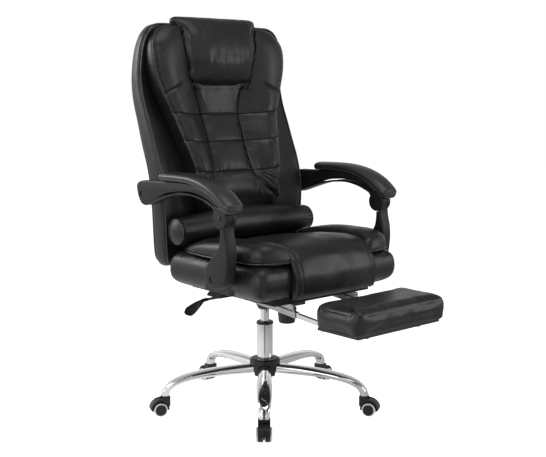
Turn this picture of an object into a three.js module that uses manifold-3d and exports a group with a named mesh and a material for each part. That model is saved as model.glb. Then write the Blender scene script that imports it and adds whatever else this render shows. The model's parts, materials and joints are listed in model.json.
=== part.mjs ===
// A reclining office chair with a footrest that slides out, in millimetres, +Z up.
// The origin is on the floor under the column. The chair faces -Y, and +X is the sitter's left.

import * as THREE from "three";
import { mergeVertices } from "three/addons/utils/BufferGeometryUtils.js";
import Module from "manifold-3d";

const wasm = await Module();
wasm.setup();

// Clearances
const seatGap = 0.3; // between pieces that touch
const runningGap = 0.6; // round a shaft and its bearing
const swingGap = 1.2; // between faces that swing past each other
const cutOver = 3; // how far a cutter runs past the face that it opens

// Base: five tube legs welded to a hub, with a cover over it
const legCount = 5;
const firstLegHeading = -41.3; // degrees from -Y towards +X
const stemCircleRadius = 320; // column axis to castor stem
const legRootHeight = 122;
const legEndHeight = 61;
const legWidth = 46;
const legDepth = 29;
const legReachShare = 0.52;
const legWidthShares = [0.74, 0.8, 0.88, 0.96, 1, 1, 0.98, 0.92, 0.82, 0.72, 0.66];
const legDepthShares = [1, 1, 0.96, 0.9, 0.83, 0.76, 0.71, 0.69, 0.7, 0.76, 0.84];
const legSides = 10;
const legSquareness = 2.6; // exponent of the flattened tube's section
const hubDiameter = 60;
const hubBottomHeight = 103;
const hubTopHeight = 144;
const coverDiameter = 96;
const coverTopHeight = 153;
const coverBottomHeight = 101;
const coverWall = 5;
const coverEdge = 6;

// Castors: twin wheels under a hood, on a stem that swivels in the leg's end
const wheelDiameter = 42;
const wheelWidth = 20.5;
const wheelFacets = 14;
const wheelEdge = 3;
const castorTrail = 19; // stem to wheel axle
const webThickness = 5;
const castorAxleDiameter = 8;
const castorAxleDepth = 13;
const stemDiameter = 11;
const stemLength = 17;
const fenderWidth = 36;
const fenderClearance = 3.5;
const fenderThickness = 5;
const fenderLowAngle = -28; // degrees above the axle's level, outer end
const fenderRearAngle = 158;
const castorBossWidth = 23;

// Column: an outer tube in the hub, a collar and the gas spring's inner tube
const columnDiameter = 50;
const columnBottomHeight = 91;
const columnLength = 171;
const columnTopHeight = columnBottomHeight + columnLength;
const collarHeight = 9;
const collarDiameter = 54;
const springTubeDiameter = 28;
const springTubeFootGap = 49; // over the column's floor, for the lowest seat
const springTubeReach = 6; // into the mechanism
const columnFloor = 8;

// Tilt mechanism on the column
const tiltAxleY = -28;
const tiltAxleDiameter = 12;
const housingWidth = 100;
const housingFrontY = -132;
const housingRearY = 44;
const liftClearance = 40; // between the collar and the mechanism's boss
const bossDepth = 27;
const tiltAxleRise = 21; // over the housing's underside
const housingFrontRise = 10; // of its front edge over the tilt axle
const housingRearDrop = 2; // of its rear edge under the tilt axle
const housingWall = 3.5;
const bossBottomDiameter = 42;
const bossTopDiameter = 70;
const tiltPlateThickness = 4;
const tiltPlateWidth = 150;
const tiltPlateFrontY = -130;
const tiltPlateRearY = 75;
const tiltCheekLength = 36;
const tiltCheekDrop = 10; // below the axle's centre
const knobY = -103;
const knobTopDiameter = 60;
const knobBottomDiameter = 50;
const knobGap = 7; // under the housing
const knobHeight = 47;
const knobBoltDiameter = 8;
const springDiameter = 26;
const springWire = 4;
const springTurns = 4;
const springCoilSteps = 8;
const springWireSides = 5;
const leverY = 0;
const leverRise = 12; // of its rod over the tilt axle
const leverPivotX = -46;
const leverPivotDrop = 3; // of its pivot under the tilt axle
const leverRodDiameter = 8;
const leverBendX = -96;
const leverRodEndX = -226;
const paddleLength = 84;
const paddleWidth = 34;
const paddleThickness = 9;
const paddleDrop = 30;
const paddleTwist = (40 * Math.PI) / 180; // of its tip, front edge down

// Seat: a pan with an ear for each armrest, a base cushion and a topper
const bossBottomHeight = columnTopHeight + collarHeight + liftClearance;
const housingBottomHeight = bossBottomHeight + bossDepth;
const tiltAxleHeight = housingBottomHeight + tiltAxleRise;
const panRise = 27; // over the tilt axle
const postFootY = -155;
const postLean = 37; // forwards, from its foot to the knuckle
const armReach = 375; // from the knuckle to the rear bolt
const knuckleY = postFootY - postLean;
const rearBoltY = knuckleY + armReach;
const reclineY = postFootY + armReach;
const backInset = 83; // of the shell's front rim before the recline axle
const backDatumY = reclineY - backInset; // the most forward place of the shell's front rim
const backGap = 5; // between the seat and the back
const cushionRearY = backDatumY - backGap;
const cushionWidth = 566;
const armGap = 29; // between the seat's side and the arm's middle
const armX = cushionWidth / 2 + armGap;
const panBottomHeight = tiltAxleHeight + panRise;
const springTubeTopHeight = housingBottomHeight + springTubeReach;
const springTubeLength = springTubeTopHeight - columnBottomHeight - columnFloor - springTubeFootGap;
const housingFrontTopHeight = tiltAxleHeight + housingFrontRise;
const housingRearTopHeight = tiltAxleHeight - housingRearDrop;
const knobTopHeight = housingBottomHeight - knobGap;
const knobBottomHeight = knobTopHeight - knobHeight;
const leverHeight = tiltAxleHeight + leverRise;
const leverPivotHeight = tiltAxleHeight - leverPivotDrop;
const panThickness = 20;
const panWidth = 380;
const panFrontY = -262;
const panRearInset = 10;
const panRearY = cushionRearY - panRearInset;
const earInset = 40.5; // inside the arm's middle
const earInnerX = armX - earInset;
const earThickness = 6;
const earFootSetBack = 30; // behind the post's bolt
const earFootLength = 59;
const earFootFrontY = postFootY + earFootSetBack;
const earFootRearY = earFootFrontY + earFootLength;
const earEyeRadius = 11;
const cushionFrontY = -308;
const cushionRise = 123; // of the seat's top over the board's underside
const cushionTopHeight = panBottomHeight + cushionRise;
const cushionCorner = 28;
const cushionCrown = 9;
const cushionDrawIn = 5; // how far the middle of a side lies inside its corners
const centrePanelWidth = 318;
const centrePanelFrontY = -324;
const centrePanelThickness = 26;
const centrePanelHemRise = 21; // of its hem over the board's underside
const centrePanelHemHeight = panBottomHeight + centrePanelHemRise;
const centrePanelCrown = 7;
const centrePanelRearInset = 6;
const centrePanelRearY = cushionRearY - centrePanelRearInset;

// Backrest
const backBottomRise = 67; // over the seat board's underside
const backHeight = 739;
const backBottomHeight = panBottomHeight + backBottomRise;
const backTopHeight = backBottomHeight + backHeight;
const backWidth = 570;
const backSweep = 112; // how far the front rim leans back over its height
const shellThickness = 92;
const shellDish = 24; // how far the shell's front face lies behind its rim
const padWidth = 530;
const padFootRise = 75; // over the shell's foot
const padHeadDrop = 8; // under the shell's top
const padFootHeight = backBottomHeight + padFootRise;
const padHeadHeight = backTopHeight - padHeadDrop;
const padCrest = 10; // how far the pad's side rolls stand proud of its edge
const quiltHalfPitch = 73;
const quiltRowShares = [0.311, 0.4543, 0.5838]; // of the pad's height
const quiltHeights = quiltRowShares.map((share) => padFootHeight + (padHeadHeight - padFootHeight) * share);
const quiltDepth = 7;
const pillowHeadRise = 22; // over the shell's top
const pillowHeight = 217;
const pillowHeadHeight = backTopHeight + pillowHeadRise;
const pillowFootHeight = pillowHeadHeight - pillowHeight;
const pillowWidth = 312;
const pillowSetBack = 43; // behind the shell's front rim
const pillowFrontY = backDatumY + pillowSetBack;
const pillowDepth = 82; // from its most forward place to the bed inside the pad
const rollDiameter = 86;
const rollX = -6; // it hangs a little towards the sitter's right
const rollLength = 534;
const rollSetForward = 45; // before the shell's front rim
const rollY = backDatumY - rollSetForward;
const rollRise = 115; // of its axis over the shell's foot
const rollHeight = backBottomHeight + rollRise;
const rollFacets = 20;
const rollPiping = 2.5;

// Armrests: a post, an arm frame and a pad on each side, hinged as a parallelogram with the recline
const armWidth = 38;
const armPadWidth = 68;
const armPadDepth = 25;
const armSlitHeight = 4.6;
const knuckleFacets = 18;
const boltFacets = 12;
const postFootRise = 80; // over the seat board's underside
const postLength = 175;
const postDepth = 97; // along Y
const armRise = 40; // of the rear bolt over the knuckle
const armFrameDepth = 80;
const postFootHeight = panBottomHeight + postFootRise;
const knuckleHeight = postFootHeight + postLength;
const rearBoltHeight = knuckleHeight + armRise;
const knuckleRadius = 30;
const tongueThickness = 11.4;
const armBoltDiameter = 10;
const armBoltHeadDiameter = 16;
const armBoltHeadDepth = 4;
const armBoltRecess = 7;
const armSpacerDiameter = 18;
const rearBoltInsertDepth = 22;

// Recline hinge inside the backrest's foot, worked out from the armrests so that the linkage closes
const reclineHeight = postFootHeight + armRise;
const reclineRange = 35;
const reclineAxleDiameter = 12;
const reclineAxleLength = 300;
const bracketX = 132;
const bracketThickness = 8;
const bracketEyeRadius = 13;
const bracketFootLength = 45;
const bracketFootThickness = 4;
const backStrutRise = 99; // over the recline axle
const backStrutHeight = reclineHeight + backStrutRise;
const backStrutThickness = 7;
const reclineLeverSetForward = 115; // before the recline axle
const reclineLeverY = reclineY - reclineLeverSetForward;
const reclineLeverDrop = 12; // under the seat board
const reclineLeverHeight = panBottomHeight - reclineLeverDrop;
const reclineLeverDiameter = 8;
const reclineLeverEndX = 292;
const reclineHandleLength = 66;
const reclineHandleWidth = 20;
const reclineHandleThickness = 8;

// Footrest: two guides under the seat, a sliding frame, a hinged board and its cushion
const railX = 130;
const railSlope = 5; // degrees down towards the front
const railFrontY = -290;
const railRearY = -72;
const railFrontDrop = 28; // of the slide's centre line under the seat board
const railFrontHeight = panBottomHeight - railFrontDrop;
const railOuterHeight = 16;
const railOuterWidth = 16;
const railWall = 1.5;
const hangerThickness = 6;
const hangerFrontY = -274;
const sliderRearY = -132;
const sliderWidth = 11;
const footHingeY = -396;
const footHingeDrop = 50; // under the seat board
const footHingeHeight = panBottomHeight - footHingeDrop;
const footHingeDiameter = 12;
const footBarLength = 130;
const footBarDiameter = 10;
const footBarX = 126;
const footCushionWidth = 356;
const footCushionRearY = -408;
const footCushionFrontY = -574;
const footCushionRise = 15; // over the hinge's centre
const footCushionThickness = 68;
const footCushionBottomHeight = footHingeHeight + footCushionRise;
const footCushionTopHeight = footCushionBottomHeight + footCushionThickness;
const footBoardThickness = 8;
const footBoardMargin = 14;

// Finishes
function finish(color, roughness, metalness) {
  return new THREE.MeshStandardMaterial({ color, roughness, metalness });
}
const leatherFinish = finish(0x26262a, 0.45, 0);
const plasticFinish = finish(0x2c2d2f, 0.5, 0);
const chromeFinish = finish(0xd8dadc, 0.08, 1);
const steelFinish = finish(0x1c1c1e, 0.55, 0.6);
const tyreFinish = finish(0x151516, 0.7, 0);
const boardFinish = finish(0x3a332c, 0.8, 0);

const chair = new THREE.Group();

function piece(parent, name, geometry, material) {
  const mesh = new THREE.Mesh(geometry, material.clone());
  mesh.name = name;
  parent.add(mesh);
  return mesh;
}

// Solids: closed triangle meshes for the library, and back again
function toSolid(geometry) {
  const bare = new THREE.BufferGeometry();
  bare.setAttribute("position", geometry.getAttribute("position"));
  if (geometry.index) bare.setIndex(geometry.index);
  const merged = mergeVertices(bare, 1e-4);
  return new wasm.Manifold(
    new wasm.Mesh({
      numProp: 3,
      vertProperties: new Float32Array(merged.attributes.position.array),
      triVerts: new Uint32Array(merged.index.array),
    }),
  );
}

function toGeometry(solid) {
  const mesh = solid.getMesh();
  const indexed = new THREE.BufferGeometry();
  indexed.setAttribute("position", new THREE.BufferAttribute(mesh.vertProperties, 3));
  indexed.setIndex(new THREE.BufferAttribute(mesh.triVerts, 1));
  const flat = indexed.toNonIndexed();
  flat.computeVertexNormals();
  return flat;
}

function join(...geometries) {
  const solids = geometries.map(toSolid);
  return toGeometry(solids.reduce((whole, next) => whole.add(next)));
}

function cut(geometry, ...cutters) {
  return toGeometry(cutters.map(toSolid).reduce((whole, next) => whole.subtract(next), toSolid(geometry)));
}

function common(geometry, keep) {
  return toGeometry(toSolid(geometry).intersect(toSolid(keep)));
}

// A box between two corners
function block(low, high) {
  const size = high.map((value, axis) => value - low[axis]);
  const middle = high.map((value, axis) => (value + low[axis]) / 2);
  return new THREE.BoxGeometry(...size).translate(...middle);
}

// A round bar between two heights, on the axis through (x, y)
function upright(radius, low, high, x, y, facets) {
  return new THREE.CylinderGeometry(radius, radius, high - low, facets)
    .rotateX(Math.PI / 2)
    .translate(x, y, (low + high) / 2);
}

// A round bar along X between two places, on the axis through (y, z)
function crossbar(radius, fromX, toX, y, z, facets) {
  return new THREE.CylinderGeometry(radius, radius, Math.abs(toX - fromX), facets)
    .rotateZ(Math.PI / 2)
    .translate((fromX + toX) / 2, y, z);
}

// A closed profile of [radius, along] points turned about X at (y, z), with along measured from x
function turnedAboutX(profile, x, y, z, facets) {
  const points = profile.map(([radius, along]) => new THREE.Vector2(radius, along));
  return new THREE.LatheGeometry(points, facets).rotateZ(-Math.PI / 2).translate(x, y, z);
}

// A closed profile of [radius, height] points turned about Z
function turnedAboutZ(profile, facets) {
  const points = profile.map(([radius, height]) => new THREE.Vector2(radius, height));
  return new THREE.LatheGeometry(points, facets).rotateX(Math.PI / 2);
}

// A side outline in Y and Z, extruded along X between two places
function sidePlate(shape, fromX, toX, curveSegments) {
  const geometry = new THREE.ExtrudeGeometry(shape, {
    depth: toX - fromX,
    bevelEnabled: false,
    curveSegments,
  });
  const turn = new THREE.Matrix4().makeBasis(
    new THREE.Vector3(0, 1, 0),
    new THREE.Vector3(0, 0, 1),
    new THREE.Vector3(1, 0, 0),
  );
  return geometry.applyMatrix4(turn).translate(fromX, 0, 0);
}

function outline(points) {
  return new THREE.Shape(points.map(([y, z]) => new THREE.Vector2(y, z)));
}

// A smooth curve through side points, sampled
function smoothLine(points, samples) {
  const curve = new THREE.CatmullRomCurve3(points.map(([y, z]) => new THREE.Vector3(0, y, z)));
  return curve.getPoints(samples).map((point) => [point.y, point.z]);
}

// The value of a list of shares at t from 0 to 1, with straight steps between them
function shareAt(shares, t) {
  const place = Math.min(Math.max(t, 0), 1) * (shares.length - 1);
  const index = Math.min(Math.floor(place), shares.length - 2);
  return shares[index] + (shares[index + 1] - shares[index]) * (place - index);
}

// The same, with a smooth curve through the shares
function smoothShareAt(shares, t) {
  const place = Math.min(Math.max(t, 0), 1) * (shares.length - 1);
  const index = Math.min(Math.floor(place), shares.length - 2);
  const at = (offset) => shares[Math.min(Math.max(index + offset, 0), shares.length - 1)];
  const u = place - index;
  const slopeIn = (at(1) - at(-1)) / 2;
  const slopeOut = (at(2) - at(0)) / 2;
  const u2 = u * u;
  const u3 = u2 * u;
  return (
    at(0) * (2 * u3 - 3 * u2 + 1) + slopeIn * (u3 - 2 * u2 + u) + at(1) * (3 * u2 - 2 * u3) + slopeOut * (u3 - u2)
  );
}

// The triangles that close a ring: it is flattened along its own normal
function capTriangles(ring) {
  const normal = new THREE.Vector3();
  ring.forEach((point, index) => {
    const next = ring[(index + 1) % ring.length];
    normal.x += (point.y - next.y) * (point.z + next.z);
    normal.y += (point.z - next.z) * (point.x + next.x);
    normal.z += (point.x - next.x) * (point.y + next.y);
  });
  normal.normalize();
  const across = new THREE.Vector3(1, 0, 0);
  if (Math.abs(normal.x) > Math.SQRT1_2) across.set(0, 1, 0);
  const u = across.clone().cross(normal).normalize();
  const v = normal.clone().cross(u);
  const flat = ring.map((point) => new THREE.Vector2(point.dot(u), point.dot(v)));
  return THREE.ShapeUtils.triangulateShape(flat, []).map(([a, b, c]) => {
    const area = (flat[b].x - flat[a].x) * (flat[c].y - flat[a].y) - (flat[b].y - flat[a].y) * (flat[c].x - flat[a].x);
    return area < 0 ? [a, c, b] : [a, b, c];
  });
}

// One closed body through rings of equal point counts
function loft(rings) {
  const count = rings[0].length;
  const positions = rings.flat().flatMap((point) => [point.x, point.y, point.z]);
  const index = [];
  for (let i = 0; i + 1 < rings.length; i += 1) {
    for (let j = 0; j < count; j += 1) {
      const k = (j + 1) % count;
      const a = i * count + j;
      const b = i * count + k;
      const c = (i + 1) * count + k;
      const d = (i + 1) * count + j;
      index.push(a, b, c, a, c, d);
    }
  }
  const last = (rings.length - 1) * count;
  capTriangles(rings[0]).forEach(([a, b, c]) => index.push(a, c, b));
  capTriangles(rings[rings.length - 1]).forEach(([a, b, c]) => index.push(last + a, last + b, last + c));
  const geometry = new THREE.BufferGeometry();
  geometry.setAttribute("position", new THREE.Float32BufferAttribute(positions, 3));
  geometry.setIndex(enclosesVolume(positions, index) ? index : index.reverse());
  const faceted = geometry.toNonIndexed();
  faceted.computeVertexNormals();
  return faceted;
}

// True where the triangles face outwards
function enclosesVolume(positions, index) {
  const corner = (i) => new THREE.Vector3().fromArray(positions, 3 * index[i]);
  let volume = 0;
  for (let i = 0; i < index.length; i += 3) {
    volume += corner(i).dot(corner(i + 1).cross(corner(i + 2)));
  }
  return volume > 0;
}

// A ring of a superellipse about a point, along two unit directions
function superRing(centre, across, up, halfWidth, halfHeight, exponent, sides) {
  return Array.from({ length: sides }, (unused, index) => {
    const angle = (2 * Math.PI * index) / sides;
    const cos = Math.cos(angle);
    const sin = Math.sin(angle);
    const x = halfWidth * Math.sign(cos) * Math.abs(cos) ** (2 / exponent);
    const z = halfHeight * Math.sign(sin) * Math.abs(sin) ** (2 / exponent);
    return centre.clone().addScaledVector(across, x).addScaledVector(up, z);
  });
}

// A rounded rectangle at one height, whose sides are drawn in at their middles
const cornerSteps = 4;
const sideSteps = 4;
function roundedRing(frontY, rearY, halfWidth, corner, drawIn, height) {
  const middleY = (frontY + rearY) / 2;
  const halfDepth = (rearY - frontY) / 2;
  const insets = [
    [1, 1],
    [-1, 1],
    [-1, -1],
    [1, -1],
  ];
  const ring = [];
  insets.forEach(([signX, signY], quarter) => {
    const centreX = signX * (halfWidth - corner);
    const centreY = signY * (halfDepth - corner);
    for (let i = 0; i <= cornerSteps; i += 1) {
      const angle = (Math.PI / 2) * (quarter + i / cornerSteps);
      ring.push([centreX + corner * Math.cos(angle), centreY + corner * Math.sin(angle)]);
    }
    const [nextX, nextY] = insets[(quarter + 1) % insets.length];
    const from = ring[ring.length - 1];
    const angle = (Math.PI / 2) * (quarter + 1);
    const to = [
      nextX * (halfWidth - corner) + corner * Math.cos(angle),
      nextY * (halfDepth - corner) + corner * Math.sin(angle),
    ];
    for (let i = 1; i < sideSteps; i += 1) {
      const t = i / sideSteps;
      const pull = drawIn * Math.sin(Math.PI * t);
      ring.push([
        from[0] + (to[0] - from[0]) * t - pull * Math.cos(angle),
        from[1] + (to[1] - from[1]) * t - pull * Math.sin(angle),
      ]);
    }
  });
  return ring.map(([x, y]) => new THREE.Vector3(x, middleY + y, height));
}

// Base
const baseGroup = new THREE.Group();
chair.add(baseGroup);
const hubRadius = hubDiameter / 2;
const columnRadius = columnDiameter / 2;
const hubFacets = 28;
const legSteps = 12;
const rootClearance = 0.6; // the leg's flat root against the round hub

function legCurve() {
  return new THREE.CubicBezierCurve3(
    new THREE.Vector3(hubRadius + rootClearance, 0, legRootHeight),
    new THREE.Vector3(stemCircleRadius * legReachShare, 0, legRootHeight),
    new THREE.Vector3(stemCircleRadius, 0, legRootHeight),
    new THREE.Vector3(stemCircleRadius, 0, legEndHeight),
  );
}

function legGeometry() {
  const curve = legCurve();
  const across = new THREE.Vector3(0, 1, 0);
  const rings = [];
  for (let i = 0; i <= legSteps; i += 1) {
    const t = i / legSteps;
    const along = curve.getTangent(t);
    const up = along.clone().cross(across);
    const halfWidth = (legWidth * smoothShareAt(legWidthShares, t)) / 2;
    const halfDepth = (legDepth * smoothShareAt(legDepthShares, t)) / 2;
    rings.push(superRing(curve.getPoint(t), across, up, halfWidth, halfDepth, legSquareness, legSides));
  }
  const socketFacets = 12;
  const socket = upright(
    stemDiameter / 2 + runningGap / 2,
    legEndHeight - cutOver,
    legEndHeight + stemLength + seatGap,
    stemCircleRadius,
    0,
    socketFacets,
  );
  return cut(loft(rings), socket);
}

function legHeading(index) {
  return THREE.MathUtils.degToRad(firstLegHeading + (360 / legCount) * index);
}

const legShape = legGeometry();
for (let i = 0; i < legCount; i += 1) {
  const leg = piece(baseGroup, `base_leg_${i + 1}`, legShape, chromeFinish);
  leg.rotation.z = legHeading(i) - Math.PI / 2;
}

const hubBoreRadius = columnRadius + seatGap;
piece(
  baseGroup,
  "base_hub",
  turnedAboutZ(
    [
      [hubBoreRadius, hubBottomHeight],
      [hubRadius, hubBottomHeight],
      [hubRadius, hubTopHeight],
      [hubBoreRadius, hubTopHeight],
      [hubBoreRadius, hubBottomHeight],
    ],
    hubFacets,
  ),
  steelFinish,
);

function hubCoverGeometry() {
  const radius = coverDiameter / 2;
  const ceiling = hubTopHeight + seatGap;
  const cap = turnedAboutZ(
    [
      [hubBoreRadius, ceiling],
      [radius - coverWall, ceiling],
      [radius - coverWall, coverBottomHeight],
      [radius, coverBottomHeight],
      [radius, coverTopHeight - coverEdge],
      [radius - coverEdge, coverTopHeight],
      [hubBoreRadius, coverTopHeight],
      [hubBoreRadius, ceiling],
    ],
    hubFacets,
  );
  const rootTop = legRootHeight + (legDepth * legDepthShares[0]) / 2 + seatGap;
  const rootHalf = (legWidth * shareAt(legWidthShares, radius / stemCircleRadius)) / 2 + seatGap;
  const slot = block([0, -rootHalf, coverBottomHeight - cutOver], [radius + cutOver, rootHalf, rootTop]);
  const slots = Array.from({ length: legCount }, (unused, i) => slot.clone().rotateZ(legHeading(i) - Math.PI / 2));
  return cut(cap, ...slots);
}
piece(baseGroup, "hub_cover", hubCoverGeometry(), plasticFinish);

// Castors
const wheelRadius = wheelDiameter / 2;
const axleHeight = wheelRadius * Math.cos(Math.PI / wheelFacets);
const fenderInner = wheelRadius + fenderClearance;
const fenderOuter = fenderInner + fenderThickness;
const castorFacets = 12;

function hoodGeometry() {
  const bossFront = castorBossWidth / 2 - castorTrail;
  const bossRear = -castorBossWidth / 2 - castorTrail;
  const bossTop = legEndHeight - runningGap - axleHeight;
  const low = THREE.MathUtils.degToRad(fenderLowAngle);
  const shape = new THREE.Shape();
  shape.absarc(0, 0, fenderOuter, low, Math.acos(bossFront / fenderOuter), false);
  shape.lineTo(bossFront, bossTop);
  shape.lineTo(bossRear, bossTop);
  const rear = THREE.MathUtils.degToRad(fenderRearAngle);
  shape.lineTo(bossRear, fenderInner * Math.sin(rear));
  shape.absarc(0, 0, fenderInner, rear, low, true);
  const fenderSegments = 7;
  const fender = sidePlate(shape, -fenderWidth / 2, fenderWidth / 2, fenderSegments);
  const web = sidePlate(shape, -webThickness / 2, webThickness / 2, fenderSegments);
  const disc = crossbar(fenderInner + fenderThickness / 2, -webThickness / 2, webThickness / 2, 0, 0, castorFacets);
  const lowerCut = block(
    [-webThickness, -fenderOuter, -fenderOuter],
    [webThickness, fenderOuter, -castorAxleDiameter],
  );
  const reach = webThickness / 2 + castorAxleDepth;
  const axle = crossbar(castorAxleDiameter / 2, -reach, reach, 0, 0, castorFacets);
  const stem = upright(
    stemDiameter / 2,
    bossTop - cutOver,
    legEndHeight + stemLength - axleHeight,
    0,
    -castorTrail,
    castorFacets,
  );
  return join(fender, web, cut(disc, lowerCut), axle, stem);
}

function wheelGeometry() {
  const inner = webThickness / 2 + runningGap;
  const outer = inner + wheelWidth;
  const bore = castorAxleDiameter / 2 + runningGap / 2;
  const boreEnd = webThickness / 2 + castorAxleDepth + runningGap;
  return turnedAboutX(
    [
      [0, boreEnd],
      [bore, boreEnd],
      [bore, inner],
      [wheelRadius, inner],
      [wheelRadius, outer - wheelEdge],
      [wheelRadius - wheelEdge, outer],
      [0, outer],
    ],
    0,
    0,
    0,
    wheelFacets,
  ).rotateX(Math.PI / wheelFacets);
}

const hoodShape = hoodGeometry();
const wheelShape = wheelGeometry();
for (let i = 0; i < legCount; i += 1) {
  const castor = new THREE.Group();
  const heading = legHeading(i);
  const reach = stemCircleRadius + castorTrail;
  castor.position.set(reach * Math.sin(heading), -reach * Math.cos(heading), axleHeight);
  castor.rotation.z = heading + Math.PI;
  baseGroup.add(castor);
  piece(castor, `castor_hood_${i + 1}`, hoodShape, plasticFinish);
  piece(castor, `castor_wheel_left_${i + 1}`, wheelShape, tyreFinish);
  const right = piece(castor, `castor_wheel_right_${i + 1}`, wheelShape, tyreFinish);
  right.rotation.z = Math.PI;
}

// Column
const springTubeRadius = springTubeDiameter / 2;
const columnFacets = 24;
const columnBore = springTubeRadius + runningGap;
piece(
  baseGroup,
  "gas_spring_tube",
  turnedAboutZ(
    [
      [0, columnBottomHeight],
      [columnRadius, columnBottomHeight],
      [columnRadius, columnTopHeight],
      [columnBore, columnTopHeight],
      [columnBore, columnBottomHeight + columnFloor],
      [0, columnBottomHeight + columnFloor],
    ],
    columnFacets,
  ),
  chromeFinish,
);
piece(
  baseGroup,
  "column_collar",
  turnedAboutZ(
    [
      [columnBore, columnTopHeight + seatGap],
      [collarDiameter / 2, columnTopHeight + seatGap],
      [collarDiameter / 2, columnTopHeight + collarHeight * 0.6],
      [columnRadius, columnTopHeight + collarHeight],
      [columnBore, columnTopHeight + collarHeight],
      [columnBore, columnTopHeight + seatGap],
    ],
    columnFacets,
  ),
  plasticFinish,
);
piece(
  chair,
  "gas_spring_rod",
  upright(springTubeRadius, springTubeTopHeight - springTubeLength, springTubeTopHeight, 0, 0, columnFacets),
  chromeFinish,
);

// Tilt mechanism
const mechanism = new THREE.Group();
chair.add(mechanism);
const housingHalf = housingWidth / 2;
const pinFacets = 16;

function housingGeometry() {
  const body = sidePlate(
    outline([
      [housingFrontY, housingBottomHeight],
      [housingRearY, housingBottomHeight],
      [housingRearY, housingRearTopHeight],
      [tiltAxleY + tiltAxleDiameter, housingFrontTopHeight],
      [housingFrontY, housingFrontTopHeight],
    ]),
    -housingHalf,
    housingHalf,
    1,
  );
  const boss = turnedAboutZ(
    [
      [0, bossBottomHeight],
      [bossBottomDiameter / 2, bossBottomHeight],
      [bossTopDiameter / 2, housingBottomHeight + housingWall / 2],
      [0, housingBottomHeight + housingWall / 2],
    ],
    columnFacets,
  );
  const hollow = block(
    [-housingHalf + housingWall, housingFrontY + housingWall, housingBottomHeight + housingWall],
    [housingHalf - housingWall, housingRearY - housingWall, housingFrontTopHeight + cutOver],
  );
  const bore = upright(
    springTubeRadius + seatGap,
    bossBottomHeight - cutOver,
    housingBottomHeight + housingWall + cutOver,
    0,
    0,
    columnFacets,
  );
  const axleHole = crossbar(
    tiltAxleDiameter / 2 + seatGap,
    -housingWidth,
    housingWidth,
    tiltAxleY,
    tiltAxleHeight,
    pinFacets,
  );
  const boltHole = upright(
    knobBoltDiameter / 2 + seatGap,
    housingBottomHeight - cutOver,
    housingBottomHeight + housingWall + cutOver,
    0,
    knobY,
    pinFacets,
  );
  const leverHalf = leverRodDiameter / 2 + seatGap;
  const leverSlot = block(
    [-housingHalf - cutOver, leverY - leverHalf, leverPivotHeight - leverHalf - runningGap],
    [-housingHalf + housingWall + cutOver, leverY + leverHalf, housingFrontTopHeight + cutOver],
  );
  return cut(join(body, boss), hollow, bore, axleHole, boltHole, leverSlot);
}
piece(mechanism, "mechanism_housing", housingGeometry(), steelFinish);

const cheekInner = housingHalf + swingGap;
const tiltPlateTop = panBottomHeight - seatGap;
const tiltPlateBottom = tiltPlateTop - tiltPlateThickness;

function tiltPlateGeometry() {
  const plate = block(
    [-tiltPlateWidth / 2, tiltPlateFrontY, tiltPlateBottom],
    [tiltPlateWidth / 2, tiltPlateRearY, tiltPlateTop],
  );
  const cheeks = [-1, 1].map((side) => {
    const faces = [side * cheekInner, side * (cheekInner + tiltPlateThickness)];
    return block(
      [Math.min(...faces), tiltAxleY - tiltCheekLength / 2, tiltAxleHeight - tiltCheekDrop],
      [Math.max(...faces), tiltAxleY + tiltCheekLength / 2, tiltPlateBottom + tiltPlateThickness / 2],
    );
  });
  const axleHole = crossbar(
    tiltAxleDiameter / 2 + seatGap,
    -housingWidth,
    housingWidth,
    tiltAxleY,
    tiltAxleHeight,
    pinFacets,
  );
  return cut(join(plate, ...cheeks), axleHole);
}
piece(mechanism, "tilt_plate", tiltPlateGeometry(), steelFinish);

const tiltAxleHalf = cheekInner + 2 * tiltPlateThickness;
piece(
  mechanism,
  "tilt_axle",
  crossbar(tiltAxleDiameter / 2, -tiltAxleHalf, tiltAxleHalf, tiltAxleY, tiltAxleHeight, pinFacets),
  steelFinish,
);

function knobGeometry() {
  const rim = (knobTopDiameter - knobBottomDiameter) / 4;
  const boltTop = tiltPlateBottom - tiltPlateThickness;
  return turnedAboutZ(
    [
      [0, knobBottomHeight],
      [knobBottomDiameter / 2 - rim, knobBottomHeight],
      [knobBottomDiameter / 2, knobBottomHeight + rim],
      [knobTopDiameter / 2, knobTopHeight],
      [knobBoltDiameter / 2, knobTopHeight],
      [knobBoltDiameter / 2, boltTop],
      [0, boltTop],
    ],
    columnFacets,
  ).translate(0, knobY, 0);
}
piece(mechanism, "tension_knob", knobGeometry(), plasticFinish);

// The tension spring stands on the housing's floor round the knob's bolt
function tensionSpringGeometry() {
  const foot = housingBottomHeight + housingWall + seatGap + springWire / 2;
  const head = tiltPlateBottom - tiltPlateThickness - springWire / 2;
  const helixRadius = (springDiameter - springWire) / 2;
  const steps = springTurns * springCoilSteps;
  const rings = [];
  const axis = new THREE.Vector3(0, 0, 1);
  for (let i = 0; i <= steps; i += 1) {
    const angle = (2 * Math.PI * i) / springCoilSteps;
    const outward = new THREE.Vector3(Math.cos(angle), Math.sin(angle), 0);
    const centre = outward.clone().multiplyScalar(helixRadius);
    centre.y += knobY;
    centre.z = foot + ((head - foot) * i) / steps;
    rings.push(superRing(centre, outward, axis, springWire / 2, springWire / 2, 2, springWireSides));
  }
  return loft(rings);
}
piece(mechanism, "tension_spring", tensionSpringGeometry(), steelFinish);

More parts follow.
